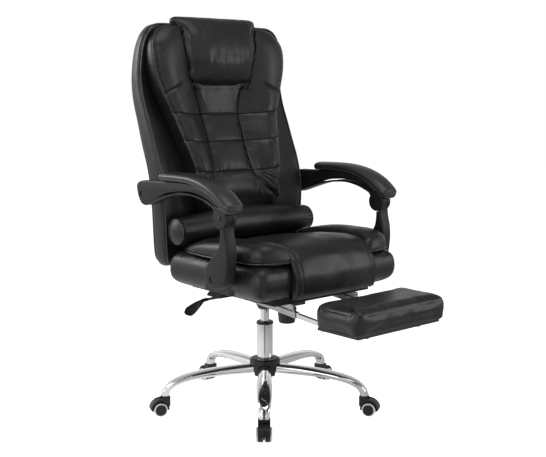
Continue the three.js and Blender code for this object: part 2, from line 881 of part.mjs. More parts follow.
// Height lever: a bent rod from over the spring tube, through the housing's wall, to a paddle
function leverRodGeometry() {
  const route = new THREE.CatmullRomCurve3(
    [
      [-springTubeRadius / 4, leverPivotHeight],
      [leverPivotX, leverPivotHeight],
      [(leverPivotX + leverBendX) / 2, (leverPivotHeight + leverHeight) / 2],
      [leverBendX, leverHeight],
      [leverRodEndX, leverHeight],
    ].map(([x, z]) => new THREE.Vector3(x, leverY, z)),
    false,
    "catmullrom",
    0.3,
  );
  const rodSteps = 12;
  const forward = new THREE.Vector3(0, 1, 0);
  const rings = [];
  for (let i = 0; i <= rodSteps; i += 1) {
    const along = route.getTangent(i / rodSteps);
    const up = along.clone().cross(forward);
    const radius = leverRodDiameter / 2;
    rings.push(superRing(route.getPoint(i / rodSteps), forward, up, radius, radius, 2, 8));
  }
  return loft(rings);
}
piece(mechanism, "height_lever_rod", leverRodGeometry(), steelFinish);

function paddleGeometry() {
  const widthShares = [0.4, 0.55, 0.85, 1, 0.95, 0.6];
  const dropShares = [0, 0.05, 0.3, 0.62, 0.9, 1];
  const steps = 8;
  const alongRod = new THREE.Vector3(1, 0, 0);
  const rings = [];
  for (let i = 0; i <= steps; i += 1) {
    const t = i / steps;
    const fall = smoothShareAt(dropShares, t);
    const centre = new THREE.Vector3(
      leverRodEndX - seatGap - paddleLength * t,
      leverY,
      leverHeight - paddleDrop * fall,
    );
    const forward = new THREE.Vector3(0, 1, 0).applyAxisAngle(alongRod, paddleTwist * fall);
    const up = new THREE.Vector3(0, 0, 1).applyAxisAngle(alongRod, paddleTwist * fall);
    const halfWidth = (paddleWidth * smoothShareAt(widthShares, t)) / 2;
    rings.push(superRing(centre, forward, up, halfWidth, paddleThickness / 2, 2.4, 10));
  }
  return loft(rings);
}
piece(mechanism, "height_lever_paddle", paddleGeometry(), plasticFinish);

// Seat
const seat = new THREE.Group();
chair.add(seat);
const panTop = panBottomHeight + panThickness;
const armInner = armX - armWidth / 2;

function earPlate(side) {
  const hub = [];
  const hubSteps = 12;
  for (let i = 0; i <= hubSteps; i += 1) {
    const angle = Math.PI * (i / hubSteps) + Math.PI / 8;
    hub.push([postFootY + earEyeRadius * Math.cos(angle), postFootHeight + earEyeRadius * Math.sin(angle)]);
  }
  const faces = [side * earInnerX, side * (earInnerX + earThickness)];
  return sidePlate(
    outline([[earFootFrontY, panTop - earThickness], [earFootRearY, panTop - earThickness], [earFootRearY, panTop], ...hub]),
    Math.min(...faces),
    Math.max(...faces),
    1,
  );
}

function seatPanGeometry() {
  const slab = block([-panWidth / 2, panFrontY, panBottomHeight], [panWidth / 2, panRearY, panTop]);
  const ears = [-1, 1].flatMap((side) => {
    const reach = [side * (panWidth / 2 - earThickness), side * (earInnerX + earThickness / 2)];
    return [
      block(
        [Math.min(...reach), earFootFrontY, panTop - earThickness],
        [Math.max(...reach), earFootRearY, panTop],
      ),
      earPlate(side),
    ];
  });
  const boltHole = crossbar(
    armBoltDiameter / 2 + seatGap,
    -cushionWidth,
    cushionWidth,
    postFootY,
    postFootHeight,
    pinFacets,
  );
  return cut(join(slab, ...ears), boltHole);
}
piece(seat, "seat_pan", seatPanGeometry(), boardFinish);

// The base cushion: a crowned block with drawn-in sides, notched at the front for the topper's fall
function seatCushionGeometry() {
  const bottom = panTop + seatGap;
  const height = cushionTopHeight - bottom;
  const heightShares = [0, 0.05, 0.17, 0.5, 0.78, 0.92, 1];
  const insetShares = [1.2, 0.55, 0.1, 0, 0.12, 0.5, 1.3];
  const inset = 14;
  const rings = heightShares.map((share, i) => {
    const pull = inset * insetShares[i];
    return roundedRing(
      cushionFrontY + pull,
      cushionRearY - pull,
      cushionWidth / 2 - pull,
      cushionCorner - pull / 2,
      cushionDrawIn,
      bottom + height * share,
    );
  });
  const notchHalf = centrePanelWidth / 2 + swingGap;
  const notchRear = centrePanelFrontY + centrePanelThickness + swingGap;
  const notch = block(
    [-notchHalf, cushionFrontY - cushionWidth, bottom - cutOver],
    [notchHalf, notchRear, cushionTopHeight + cushionCrown],
  );
  const earRooms = [-1, 1].map((side) => {
    const faces = [side * (earInnerX - swingGap), side * cushionWidth];
    return block(
      [Math.min(...faces), postFootY - earEyeRadius - swingGap, bottom - cutOver],
      [Math.max(...faces), earFootRearY + swingGap, postFootHeight + earEyeRadius + swingGap],
    );
  });
  return cut(loft(rings), notch, ...earRooms);
}
piece(seat, "seat_cushion", seatCushionGeometry(), leatherFinish);

// The topper: a centre panel that falls over the front edge, between two swollen side wings
function centrePanelGeometry() {
  const bed = cushionTopHeight + seatGap;
  const fall = centrePanelFrontY;
  const inner = centrePanelFrontY + centrePanelThickness;
  const drop = bed - centrePanelHemHeight;
  const lift = centrePanelThickness;
  const top = [
    [centrePanelRearY, bed + lift * 0.38],
    [centrePanelRearY - lift * 2, bed + lift * 0.4],
    [0, bed + lift * 0.95],
    [-cushionCorner * 4.3, bed + lift * 1.55],
    [fall + cushionCorner * 3.8, bed + lift * 1.78],
    [fall + cushionCorner * 2.1, bed + lift * 1.45],
    [fall + cushionCorner, bed + lift * 0.62],
    [fall + cushionCorner * 0.36, bed - drop * 0.1],
    [fall + lift * 0.04, bed - drop * 0.32],
    [fall, bed - drop * 0.6],
    [fall + lift * 0.12, bed - drop * 0.88],
    [fall + lift * 0.35, bed - drop],
  ];
  const face = smoothLine(top, 26);
  const under = [
    [inner - lift * 0.1, centrePanelHemHeight],
    [inner, bed - drop * 0.5],
    [inner, bed],
    [-cushionCorner * 3, bed],
    [0, bed],
    [centrePanelRearY, bed],
  ];
  const columnShares = [-1, -0.985, -0.93, -0.8, -0.4, 0, 0.4, 0.8, 0.93, 0.985, 1];
  const edgeShares = [0.42, 0.12, 0.02, 0, 0, 0, 0, 0, 0.02, 0.12, 0.42];
  const rings = columnShares.map((share, column) => {
    const crown = centrePanelCrown * (1 - share * share);
    const sink = edgeShares[column] * lift;
    return [
      ...face.map(([y, z]) => {
        const risen = Math.min(Math.max((z - bed) / lift, 0), 1);
        const front = z < bed + lift ? sink * 0.6 : 0;
        return new THREE.Vector3((share * centrePanelWidth) / 2, y + front, z + (crown - sink) * risen);
      }),
      ...under.map(([y, z]) => new THREE.Vector3((share * centrePanelWidth) / 2, y, z)),
    ];
  });
  return loft(rings);
}

function wingGeometry(side) {
  const bed = cushionTopHeight;
  const half = cushionWidth / 2;
  const alongShares = [0.95, 0.836, 0.745, 0.609, 0.473, 0.336, 0.211, 0.11, 0.045, 0.012];
  const outShares = [0.69, 0.76, 0.8, 0.818, 0.822, 0.816, 0.79, 0.75, 0.7, 0.64];
  const widthShares = [0.8, 0.95, 1, 1, 1, 1, 1.02, 1.02, 0.9, 0.45];
  const crestShares = [0.15, 0.2, 0.33, 0.62, 0.88, 0.98, 1, 0.93, 0.68, 0.28];
  const wingHalfWidth = half * 0.178;
  const wingRise = centrePanelThickness * 2.6;
  const depth = cushionRearY - cushionFrontY;
  const steps = 16;
  const rings = [];
  for (let i = 0; i <= steps; i += 1) {
    const t = i / steps;
    const y = cushionFrontY + depth * smoothShareAt(alongShares, t);
    const x = side * half * smoothShareAt(outShares, t);
    const crest = wingRise * smoothShareAt(crestShares, t);
    const halfWidth = wingHalfWidth * smoothShareAt(widthShares, t);
    const across = new THREE.Vector3(1, 0, 0);
    const up = new THREE.Vector3(0, 0, 1);
    const centre = new THREE.Vector3(x, y, bed + crest * 0.35);
    rings.push(superRing(centre, across, up, halfWidth, crest * 0.65, 2.2, 16));
  }
  return loft(rings);
}

function topperGeometry() {
  const bed = cushionTopHeight + seatGap;
  const room = cushionWidth;
  const aboveBed = block([-room, -room, bed], [room, room, bed + room]);
  const wings = common(join(wingGeometry(-1), wingGeometry(1), panelBridge(bed)), aboveBed);
  return join(centrePanelGeometry(), wings);
}

// The topper's bed between the wings and the panel
function panelBridge(bed) {
  const half = cushionWidth / 2 - 2 * cushionCorner;
  const thick = centrePanelThickness * 0.4;
  return block([-half, cushionFrontY + 2 * cushionCorner, bed - cutOver], [half, centrePanelRearY, bed + thick]);
}
piece(seat, "seat_topper", topperGeometry(), leatherFinish);

// Backrest
const back = new THREE.Group();
chair.add(back);
const backRise = backTopHeight - backBottomHeight;

// The shell's front rim: how far it leans back, as shares of the sweep over the back's height
const rimLeanShares = [0.036, 0.027, 0.009, 0, 0.04, 0.18, 0.41, 0.634, 0.866, 1, 0.996, 0.95, 0.92];
function shellRimY(height) {
  return backDatumY + backSweep * smoothShareAt(rimLeanShares, (height - backBottomHeight) / backRise);
}

function backShellGeometry() {
  const heightShares = [0, 0.008, 0.022, 0.045, 0.12, 0.2, 0.3, 0.4, 0.5, 0.6, 0.7, 0.8, 0.88, 0.94, 0.975, 0.993, 1];
  const widthShares = [0.9, 0.93, 0.95, 0.965, 0.98, 0.99, 1, 1, 1, 1, 1, 0.995, 0.98, 0.95, 0.9, 0.82, 0.72];
  const thickShares = [0.5, 0.66, 0.84, 0.98, 1, 1.02, 1.06, 1.08, 1.05, 0.96, 0.86, 0.76, 0.72, 0.66, 0.56, 0.42, 0.3];
  const tuckShares = [0.26, 0.13, 0.05, 0, 0, 0, 0, 0, 0, 0, 0, 0, 0, 0, 0.02, 0.08, 0.14];
  const dishShares = [0.2, 0.4, 0.7, 1, 1, 1, 1, 1, 1, 1, 1, 1, 1, 0.8, 0.5, 0.2, 0];
  const rings = heightShares.map((share, i) => {
    const height = backBottomHeight + backRise * share;
    const halfWidth = (backWidth / 2) * widthShares[i];
    const thickness = shellThickness * thickShares[i];
    const front = shellRimY(height) + shellThickness * tuckShares[i];
    return shellRing(front, thickness, shellDish * dishShares[i], halfWidth, height);
  });
  return cut(loft(rings), ...backPockets());
}

// A shell section: a dished front between proud rims, side walls and a bulging rear
function shellRing(front, thickness, dish, halfWidth, height) {
  const rearShares = [
    [0.985, 0],
    [1, 0.05],
    [1, 0.4],
    [0.985, 0.58],
    [0.93, 0.76],
    [0.82, 0.9],
    [0.64, 1.02],
    [0.38, 1.1],
    [0.14, 1.13],
  ];
  const half = rearShares.map(([out, deep]) => [halfWidth * out, front + thickness * deep]);
  const mirrored = half.map(([x, y]) => [-x, y]).reverse();
  const dishShares = [
    [-0.93, 0.08],
    [-0.8, 0.55],
    [-0.62, 1],
    [-0.2, 1],
    [0.2, 1],
    [0.62, 1],
    [0.8, 0.55],
    [0.93, 0.08],
  ];
  const face = dishShares.map(([out, deep]) => [halfWidth * out, front + dish * deep]);
  return [...half, ...mirrored, ...face].map(([x, y]) => new THREE.Vector3(x, y, height));
}

// Room in the shell for the hinge brackets, the axle and the arm bolts
function backPockets() {
  const eye = bracketEyeRadius + swingGap;
  const pocketFront = backDatumY - cutOver * 4;
  const rooms = [-1, 1].map((side) => {
    const faces = [side * (bracketX - bracketThickness - 2 * swingGap), side * (bracketX + bracketThickness + 2 * swingGap)];
    const slot = sidePlate(
      outline([
        [pocketFront, backBottomHeight - cutOver],
        [reclineY - eye * 0.4, backBottomHeight - cutOver],
        [reclineY + eye * 0.55, reclineHeight - eye * 0.9],
        [reclineY + eye * 0.95, reclineHeight - eye * 0.5],
        [reclineY + eye, reclineHeight],
        [reclineY + eye * 0.9, reclineHeight + eye],
        [pocketFront, reclineHeight + eye],
      ]),
      Math.min(...faces),
      Math.max(...faces),
      1,
    );
    return slot;
  });
  const strutRoom = block(
    [-bracketX - bracketThickness - 2 * swingGap, strutY - seatGap, reclineHeight],
    [bracketX + bracketThickness + 2 * swingGap, strutY + backStrutThickness + seatGap, backStrutHeight + seatGap],
  );
  const axleRoom = crossbar(
    reclineAxleDiameter / 2 + seatGap,
    -reclineAxleLength / 2 - seatGap,
    reclineAxleLength / 2 + seatGap,
    reclineY,
    reclineHeight,
    pinFacets,
  );
  const boltRooms = [-1, 1].map((side) => {
    return crossbar(
      armBoltDiameter / 2 + seatGap,
      side * (backWidth / 2 - rearBoltInsertDepth - cutOver),
      side * armX,
      rearBoltY,
      rearBoltHeight,
      pinFacets,
    );
  });
  return [...rooms, strutRoom, axleRoom, ...boltRooms];
}
const strutY = reclineY - backStrutThickness / 2;
const backShellShape = backShellGeometry();
piece(back, "back_shell", backShellShape, leatherFinish);

// The pad's front face: its middle and its edges lean back in their own ways, with sewn tufts
const padRise = padHeadHeight - padFootHeight;
const padWidthShares = [0.49, 0.517, 0.558, 0.596, 0.626, 0.66, 0.7, 0.747, 0.789, 0.853, 0.92, 0.977, 1, 0.98, 0.77];
const padEdgeShares = [0.12, 0.11, -0.1, -0.22, -0.14, -0.06, 0.08, 0.24, 0.4, 0.51, 0.59, 0.64, 0.68, 0.76, 0.93];
const padMiddleShares = [-0.01, -0.015, -0.03, -0.06, 0.07, 0.18, 0.33, 0.49, 0.66, 0.73, 0.76, 0.76, 0.77, 0.82, 0.98];

function padHalfWidth(height) {
  return (padWidth / 2) * smoothShareAt(padWidthShares, (height - padFootHeight) / padRise);
}

function padFrontY(x, height) {
  const t = (height - padFootHeight) / padRise;
  const side = Math.min(Math.abs(x) / padHalfWidth(height), 1);
  const toEdge = THREE.MathUtils.smoothstep(side, 0.35, 0.85);
  const lean = smoothShareAt(padMiddleShares, t) * (1 - toEdge) + smoothShareAt(padEdgeShares, t) * toEdge;
  const crest = padCrest * toEdge * Math.sqrt(Math.max(1 - side ** 8, 0));
  return backDatumY + backSweep * lean - crest + quiltSink(x, height);
}

function quiltSink(x, height) {
  const reach = quiltHalfPitch * 0.16;
  const lowest = quiltHeights[0];
  const highest = quiltHeights[quiltHeights.length - 1];
  const groove = (distance) => Math.exp(-((distance / reach) ** 2));
  const rows = quiltHeights.map((row) => groove(height - row));
  const inRows = THREE.MathUtils.smoothstep(height, lowest - 2 * quiltHalfPitch, lowest);
  const below = THREE.MathUtils.smoothstep(highest + quiltHalfPitch - height, 0, reach);
  const columns = [-1, 1].map((side) => groove(x - side * quiltHalfPitch) * inRows * below);
  return quiltDepth * Math.max(...rows, ...columns);
}

function backPadGeometry() {
  const innerShares = [0, 0.5, 0.8, 1, 1.2];
  const outerShares = [0.25, 0.5, 0.72, 0.88, 0.97, 1];
  const rowCount = 26;
  const heights = [];
  for (let i = 0; i <= rowCount; i += 1) heights.push(padFootHeight + (padRise * i) / rowCount);
  quiltHeights.forEach((row) => {
    const away = heights.map((height) => Math.abs(height - row));
    heights[away.indexOf(Math.min(...away))] = row;
  });
  const rings = heights.map((height) => {
    const halfWidth = padHalfWidth(height);
    const inner = innerShares.map((share) => share * quiltHalfPitch);
    const last = inner[inner.length - 1];
    const outer = outerShares.map((share) => last + (halfWidth - last) * share);
    const columns = [...inner, ...outer];
    const right = columns.map((x) => new THREE.Vector3(x, padFrontY(x, height), height));
    const left = columns
      .slice(1)
      .map((x) => new THREE.Vector3(-x, padFrontY(x, height), height))
      .reverse();
    const bed = shellRimY(height) + shellDish * 1.3;
    const rear = [halfWidth, -halfWidth].map((x) => new THREE.Vector3(x, bed, height));
    return [...left, ...right, ...rear];
  });
  return cut(loft(rings), backShellShape.clone().translate(0, -seatGap, 0));
}
const backPadShape = backPadGeometry();
piece(back, "back_pad", backPadShape, leatherFinish);

// The head pillow, sewn to the pad: a crowned form that widens upwards
function pillowGeometry() {
  const heightShares = [0, 0.03, 0.07, 0.15, 0.27, 0.41, 0.54, 0.68, 0.8, 0.89, 0.96, 1];
  const widthShares = [0.51, 0.6, 0.7, 0.79, 0.85, 0.91, 0.955, 0.985, 1, 0.99, 0.96, 0.88];
  const leanShares = [0.58, 0.375, 0.25, 0.11, 0.03, 0, 0.04, 0.14, 0.28, 0.47, 0.7, 0.97];
  const edgeShares = [
    [0, 0],
    [0.35, 0.02],
    [0.62, 0.08],
    [0.82, 0.2],
    [0.94, 0.36],
    [1, 0.6],
  ];
  const rise = pillowHeadHeight - pillowFootHeight;
  const bed = pillowFrontY + pillowDepth;
  const rings = heightShares.map((share, i) => {
    const height = pillowFootHeight + rise * share;
    const halfWidth = (pillowWidth / 2) * widthShares[i];
    const front = pillowFrontY + pillowDepth * leanShares[i];
    const face = edgeShares.map(([out, deep]) => [halfWidth * out, front + (bed - front) * deep]);
    const left = face
      .slice(1)
      .map(([x, y]) => [-x, y])
      .reverse();
    const rear = [
      [halfWidth, bed + seatGap],
      [-halfWidth, bed + seatGap],
    ];
    return [...left, ...face, ...rear].map(([x, y]) => new THREE.Vector3(x, y, height));
  });
  const clear = (geometry, gap) => geometry.clone().translate(0, -gap, gap);
  return cut(loft(rings), backPadShape, clear(backPadShape, seatGap), clear(backShellShape, 3 * seatGap));
}
piece(back, "head_pillow", pillowGeometry(), leatherFinish);

// The lumbar roll, with piped end discs
function lumbarRollGeometry() {
  const radius = rollDiameter / 2;
  const half = rollLength / 2;
  const end = radius * 0.12;
  const profile = [
    [0, -half],
    [radius * 0.8, -half + rollPiping / 2],
    [radius - rollPiping, -half + rollPiping],
    [radius, -half + 2 * rollPiping],
    [radius - rollPiping, -half + 3 * rollPiping + end],
    [radius, -half * 0.5],
    [radius, half * 0.5],
    [radius - rollPiping, half - 3 * rollPiping - end],
    [radius, half - 2 * rollPiping],
    [radius - rollPiping, half - rollPiping],
    [radius * 0.8, half - rollPiping / 2],
    [0, half],
  ];
  return turnedAboutX(profile, rollX, rollY, rollHeight, rollFacets);
}
piece(back, "lumbar_roll", lumbarRollGeometry(), leatherFinish);

// Recline hinge
function seatBracketGeometry() {
  const eye = bracketEyeRadius;
  const footTop = panBottomHeight - seatGap;
  const footBottom = footTop - bracketFootThickness;
  const footFront = panRearY - bracketFootLength;
  const riseY = cushionRearY + 2 * swingGap;
  const legThickness = bracketEyeRadius * 0.75;
  const side = outline([
    [footFront, footBottom],
    [riseY + legThickness, footBottom],
    [riseY + legThickness, reclineHeight - 4 * eye],
    [reclineY + eye * 0.2, reclineHeight - eye * 0.98],
    [reclineY + eye * 0.9, reclineHeight - eye * 0.4],
    [reclineY + eye * 0.9, reclineHeight + eye * 0.4],
    [reclineY + eye * 0.4, reclineHeight + eye * 0.9],
    [reclineY - eye * 0.4, reclineHeight + eye * 0.9],
    [riseY + eye * 0.5, reclineHeight - eye * 1.6],
    [riseY, reclineHeight - 3.4 * eye],
    [riseY, footTop],
    [footFront, footTop],
  ]);
  const arms = [-1, 1].map((sign) => {
    const faces = [sign * bracketX, sign * (bracketX + bracketThickness)];
    return sidePlate(side, Math.min(...faces), Math.max(...faces), 1);
  });
  const tie = block([-bracketX - cutOver, footFront, footBottom], [bracketX + cutOver, panRearY, footTop]);
  const holes = [
    crossbar(
      reclineAxleDiameter / 2 + seatGap,
      -reclineAxleLength,
      reclineAxleLength,
      reclineY,
      reclineHeight,
      pinFacets,
    ),
  ];
  const lug = block(
    [bracketX - bracketThickness, reclineLeverY - reclineLeverDiameter, reclineLeverHeight - reclineLeverDiameter],
    [bracketX + bracketThickness, reclineLeverY + reclineLeverDiameter, footTop - seatGap],
  );
  const lugHole = crossbar(
    reclineLeverDiameter / 2 + seatGap,
    0,
    reclineLeverEndX,
    reclineLeverY,
    reclineLeverHeight,
    pinFacets,
  );
  return cut(join(...arms, tie, lug), ...holes, lugHole);
}
piece(seat, "recline_seat_bracket", seatBracketGeometry(), steelFinish);

// The back's bracket: an eye on each side and a strut plate inside the shell
function backBracketGeometry() {
  const eye = bracketEyeRadius * 0.85;
  const inner = bracketX - swingGap / 2;
  const parts = [-1, 1].flatMap((sign) => {
    const faces = [sign * inner, sign * (inner - bracketThickness)];
    const low = Math.min(...faces);
    const high = Math.max(...faces);
    return [
      crossbar(eye, low, high, reclineY, reclineHeight, pinFacets),
      block([low, strutY, reclineHeight], [high, strutY + backStrutThickness, backStrutHeight]),
    ];
  });
  const tie = block(
    [-inner, strutY, backStrutHeight - bracketFootLength],
    [inner, strutY + backStrutThickness, backStrutHeight],
  );
  const hole = crossbar(
    reclineAxleDiameter / 2 + seatGap,
    -reclineAxleLength,
    reclineAxleLength,
    reclineY,
    reclineHeight,
    pinFacets,
  );
  return cut(join(...parts, tie), hole);
}
piece(back, "recline_back_bracket", backBracketGeometry(), steelFinish);

piece(
  back,
  "recline_axle",
  crossbar(
    reclineAxleDiameter / 2,
    -reclineAxleLength / 2,
    reclineAxleLength / 2,
    reclineY,
    reclineHeight,
    pinFacets,
  ),
  steelFinish,
);

// The release lever on the sitter's left, turning in the seat bracket's lug
function reclineLeverGeometry() {
  const rod = crossbar(
    reclineLeverDiameter / 2,
    bracketX - 2 * bracketThickness,
    reclineLeverEndX,
    reclineLeverY,
    reclineLeverHeight,
    pinFacets,
  );
  const handle = block(
    [
      reclineLeverEndX - reclineHandleWidth,
      reclineLeverY - reclineHandleLength,
      reclineLeverHeight - reclineHandleThickness / 2,
    ],
    [
      reclineLeverEndX,
      reclineLeverY + reclineLeverDiameter / 2,
      reclineLeverHeight + reclineHandleThickness / 2,
    ],
  );
  return join(rod, handle);
}
piece(seat, "recline_lever", reclineLeverGeometry(), plasticFinish);

// Armrests: the outlines' tables are shares of armReach and armFrameDepth from the knuckle, along Y and Z,
// and the post's are shares of postDepth and postLength
const armPadLineShares = [
  [0.7147, 1.05],
  [0.6187, 1.0625],
  [0.512, 1.075],
  [0.352, 1.05],
  [0.2187, 0.9437],
  [0.112, 0.775],
  [0.0187, 0.5375],
  [-0.056, 0.275],
  [-0.1067, 0.1187],
  [-0.1387, 0.0875],
];
const armFrameRearShares = [
  [1.072, 0.75],
  [1.0347, 0.925],
  [0.9653, 1],
  [0.8587, 1.0125],
];
const armFrameUnderShares = [
  [0.0107, 0.375],
  [0.064, 0.125],
  [0.0827, 0.2875],
  [0.1467, 0.425],
  [0.232, 0.55],
  [0.344, 0.6375],
  [0.456, 0.65],
  [0.5707, 0.575],
  [0.6907, 0.4375],
  [0.8613, 0.1875],
  [0.9333, 0.0813],
  [0.9707, 0.0625],
  [1.0133, 0.1375],
  [1.0533, 0.4],
];
const armSlitShares = [
  [0.776, 0.425],
  [0.6533, 0.6],
  [0.4773, 0.7125],
  [0.3413, 0.7375],
  [0.232, 0.6625],
  [0.1227, 0.525],
  [0.0587, 0.3875],
];
const armPostShares = [
  [-0.2062, -0.0343],
  [-0.2165, -0.1829],
  [-0.2474, -0.28],
  [-0.3093, -0.4114],
  [-0.3402, -0.6057],
  [-0.3093, -0.8057],
  [-0.2474, -0.9657],
  [-0.1649, -1.0629],
  [0.0206, -1.12],
  [0.3299, -1.1486],
  [0.5361, -1.1086],
  [0.6289, -1],
  [0.6598, -0.88],
  [0.6186, -0.7943],
  [0.433, -0.68],
  [0.1959, -0.5429],
  [0.0515, -0.4343],
  [0, -0.2914],
  [-0.0103, -0.1714],
  [-0.0103, -0.0343],
];
const armPadThickShares = [0.55, 0.9, 1, 1, 1.02, 1.08, 1.12, 1.05, 0.85, 0.4];
const armPadWidthShares = [0.75, 0.97, 1, 1, 1, 1, 1, 0.96, 0.84, 0.55];

function fromKnuckle(shares) {
  return shares.map(([y, z]) => [knuckleY + armReach * y, knuckleHeight + armFrameDepth * z]);
}

function armPadGeometry() {
  const steps = 14;
  const curve = new THREE.CatmullRomCurve3(fromKnuckle(armPadLineShares).map(([y, z]) => new THREE.Vector3(0, y, z)));
  const across = new THREE.Vector3(1, 0, 0);
  const rings = [];
  for (let i = 0; i <= steps; i += 1) {
    const t = i / steps;
    const up = across.clone().cross(curve.getTangent(t));
    if (up.z < 0) up.negate();
    const halfDepth = (armPadDepth * smoothShareAt(armPadThickShares, t)) / 2;
    const halfWidth = (armPadWidth * smoothShareAt(armPadWidthShares, t)) / 2;
    const centre = curve.getPoint(t).addScaledVector(up, halfDepth);
    rings.push(superRing(centre, across, up, halfWidth, halfDepth, 2.6, 12));
  }
  return loft(rings);
}

function armFrameGeometry() {
  const top = smoothLine(fromKnuckle(armPadLineShares), 22).filter(([y]) => y > knuckleY + armBoltDiameter);
  const shape = outline([
    ...fromKnuckle(armFrameRearShares),
    ...top.map(([y, z]) => [y, z - 1.6 * seatGap]),
    ...fromKnuckle(armFrameUnderShares),
  ]);
  const half = armWidth / 2;
  const beam = sidePlate(shape, -half, half, 1);
  const disc = crossbar(knuckleRadius, -half, half, knuckleY, knuckleHeight, knuckleFacets);
  const slot = crossbar(
    knuckleRadius + 2 * swingGap,
    -tongueThickness / 2 - seatGap,
    tongueThickness / 2 + seatGap,
    knuckleY,
    knuckleHeight,
    knuckleFacets,
  );
  const holes = [
    crossbar(armBoltDiameter / 2 + seatGap, -armWidth, armWidth, knuckleY, knuckleHeight, pinFacets),
    crossbar(armBoltDiameter / 2 + seatGap, -armWidth, armWidth, rearBoltY, rearBoltHeight, pinFacets),
    boltRecess(rearBoltY, rearBoltHeight),
  ];
  return cut(join(beam, disc), armSlit(), slot, ...holes);
}

// The curved slit over the frame's thin lower strut
function armSlit() {
  const line = fromKnuckle(armSlitShares);
  const heightShares = [0.3, 0.85, 1, 1, 1, 0.8, 0.3];
  const steps = 9;
  const middle = smoothLine(line, steps);
  const rise = (i) => (armSlitHeight * smoothShareAt(heightShares, i / steps)) / 2;
  const upper = middle.map(([y, z], i) => [y, z + rise(i)]);
  const lower = middle.map(([y, z], i) => [y, z - rise(i)]).reverse();
  return sidePlate(outline([...upper, ...lower]), -armWidth, armWidth, 1);
}

function boltRecess(y, z) {
  const radius = armBoltHeadDiameter / 2 + runningGap;
  return crossbar(radius, armWidth / 2 - armBoltRecess, armWidth, y, z, pinFacets);
}

function armPostGeometry() {
  const half = armWidth / 2;
  const shape = outline(
    armPostShares.map(([y, z]) => [knuckleY + postDepth * y, knuckleHeight + postLength * z]),
  );
  const body = sidePlate(shape, -half, half, 1);
  const tongue = crossbar(
    knuckleRadius - swingGap,
    -tongueThickness / 2,
    tongueThickness / 2,
    knuckleY,
    knuckleHeight,
    knuckleFacets,
  );
  const clearance = knuckleRadius + swingGap;
  const sideCuts = [-1, 1].map((side) => {
    return crossbar(clearance, (side * tongueThickness) / 2, side * armWidth, knuckleY, knuckleHeight, knuckleFacets);
  });
  const holes = [
    crossbar(armBoltDiameter / 2 + seatGap, -armWidth, armWidth, knuckleY, knuckleHeight, pinFacets),
    crossbar(armBoltDiameter / 2 + seatGap, -armWidth, armWidth, postFootY, postFootHeight, pinFacets),
    boltRecess(postFootY, postFootHeight),
  ];
  return cut(join(cut(body, ...sideCuts), tongue), ...holes);
}

// A bolt along X with its head in the arm's outer face and, beside a frame, a spacer inside the arm
function armBoltGeometry(reach, spacerFrom, spacerTo, headBase) {
  const radius = armBoltDiameter / 2;
  const profile = [
    [0, -reach],
    [radius, -reach],
  ];
  if (spacerTo > spacerFrom) {
    profile.push([radius, -spacerTo]);
    profile.push([armSpacerDiameter / 2, -spacerTo]);
    profile.push([armSpacerDiameter / 2, -spacerFrom]);
    profile.push([radius, -spacerFrom]);
  }
  const head = armBoltHeadDiameter / 2;
  profile.push([radius, headBase]);
  profile.push([head, headBase]);
  profile.push([head, headBase + armBoltHeadDepth / 2]);
  profile.push([head - swingGap, headBase + armBoltHeadDepth]);
  profile.push([0, headBase + armBoltHeadDepth]);
  return turnedAboutX(profile, 0, 0, 0, boltFacets);
}
const armPadShape = armPadGeometry();
const armFrameShape = armFrameGeometry();
const armPostShape = armPostGeometry();
const armHalf = armWidth / 2;
const recessedHead = armHalf - armBoltRecess + seatGap;
const footBoltShape = armBoltGeometry(
  armX - earInnerX - seatGap,
  armHalf + seatGap,
  armX - earInnerX - earThickness - seatGap,
  recessedHead,
);
const knuckleBoltShape = armBoltGeometry(armHalf - seatGap, 0, 0, armHalf + seatGap);
const shellSideX = backWidth / 2;
const rearBoltShape = armBoltGeometry(
  armX - shellSideX + rearBoltInsertDepth,
  armHalf + seatGap,
  armX - shellSideX - swingGap,
  recessedHead,
);
[
  ["left", 1],
  ["right", -1],
].forEach(([name, side]) => {
  const arm = new THREE.Group();
  arm.position.x = side * armX;
  arm.scale.x = side;
  chair.add(arm);
  piece(arm, `arm_pad_${name}`, armPadShape, leatherFinish);
  piece(arm, `arm_frame_${name}`, armFrameShape, plasticFinish);
  piece(arm, `arm_post_${name}`, armPostShape, plasticFinish);
  const bolts = [
    ["post_foot_bolt", footBoltShape, postFootY, postFootHeight],
    ["knuckle_pin", knuckleBoltShape, knuckleY, knuckleHeight],
    ["arm_rear_bolt", rearBoltShape, rearBoltY, rearBoltHeight],
  ];
  bolts.forEach(([bolt, shape, y, z]) => {
    const mesh = piece(arm, `${bolt}_${name}`, shape, steelFinish);
    mesh.position.set(0, y, z);
  });
});

// Footrest
const slope = THREE.MathUtils.degToRad(railSlope);
const footrest = new THREE.Group();
chair.add(footrest);

// A point on the slide's centre line at a place along Y
function railHeightAt(y) {
  return railFrontHeight + (y - railFrontY) * Math.tan(slope);
}

function railBox(x, width, height, fromY, toY) {
  const half = height / 2 / Math.cos(slope);
  const shape = outline([
    [fromY, railHeightAt(fromY) - half],
    [toY, railHeightAt(toY) - half],
    [toY, railHeightAt(toY) + half],
    [fromY, railHeightAt(fromY) + half],
  ]);
  return sidePlate(shape, x - width / 2, x + width / 2, 1);
}

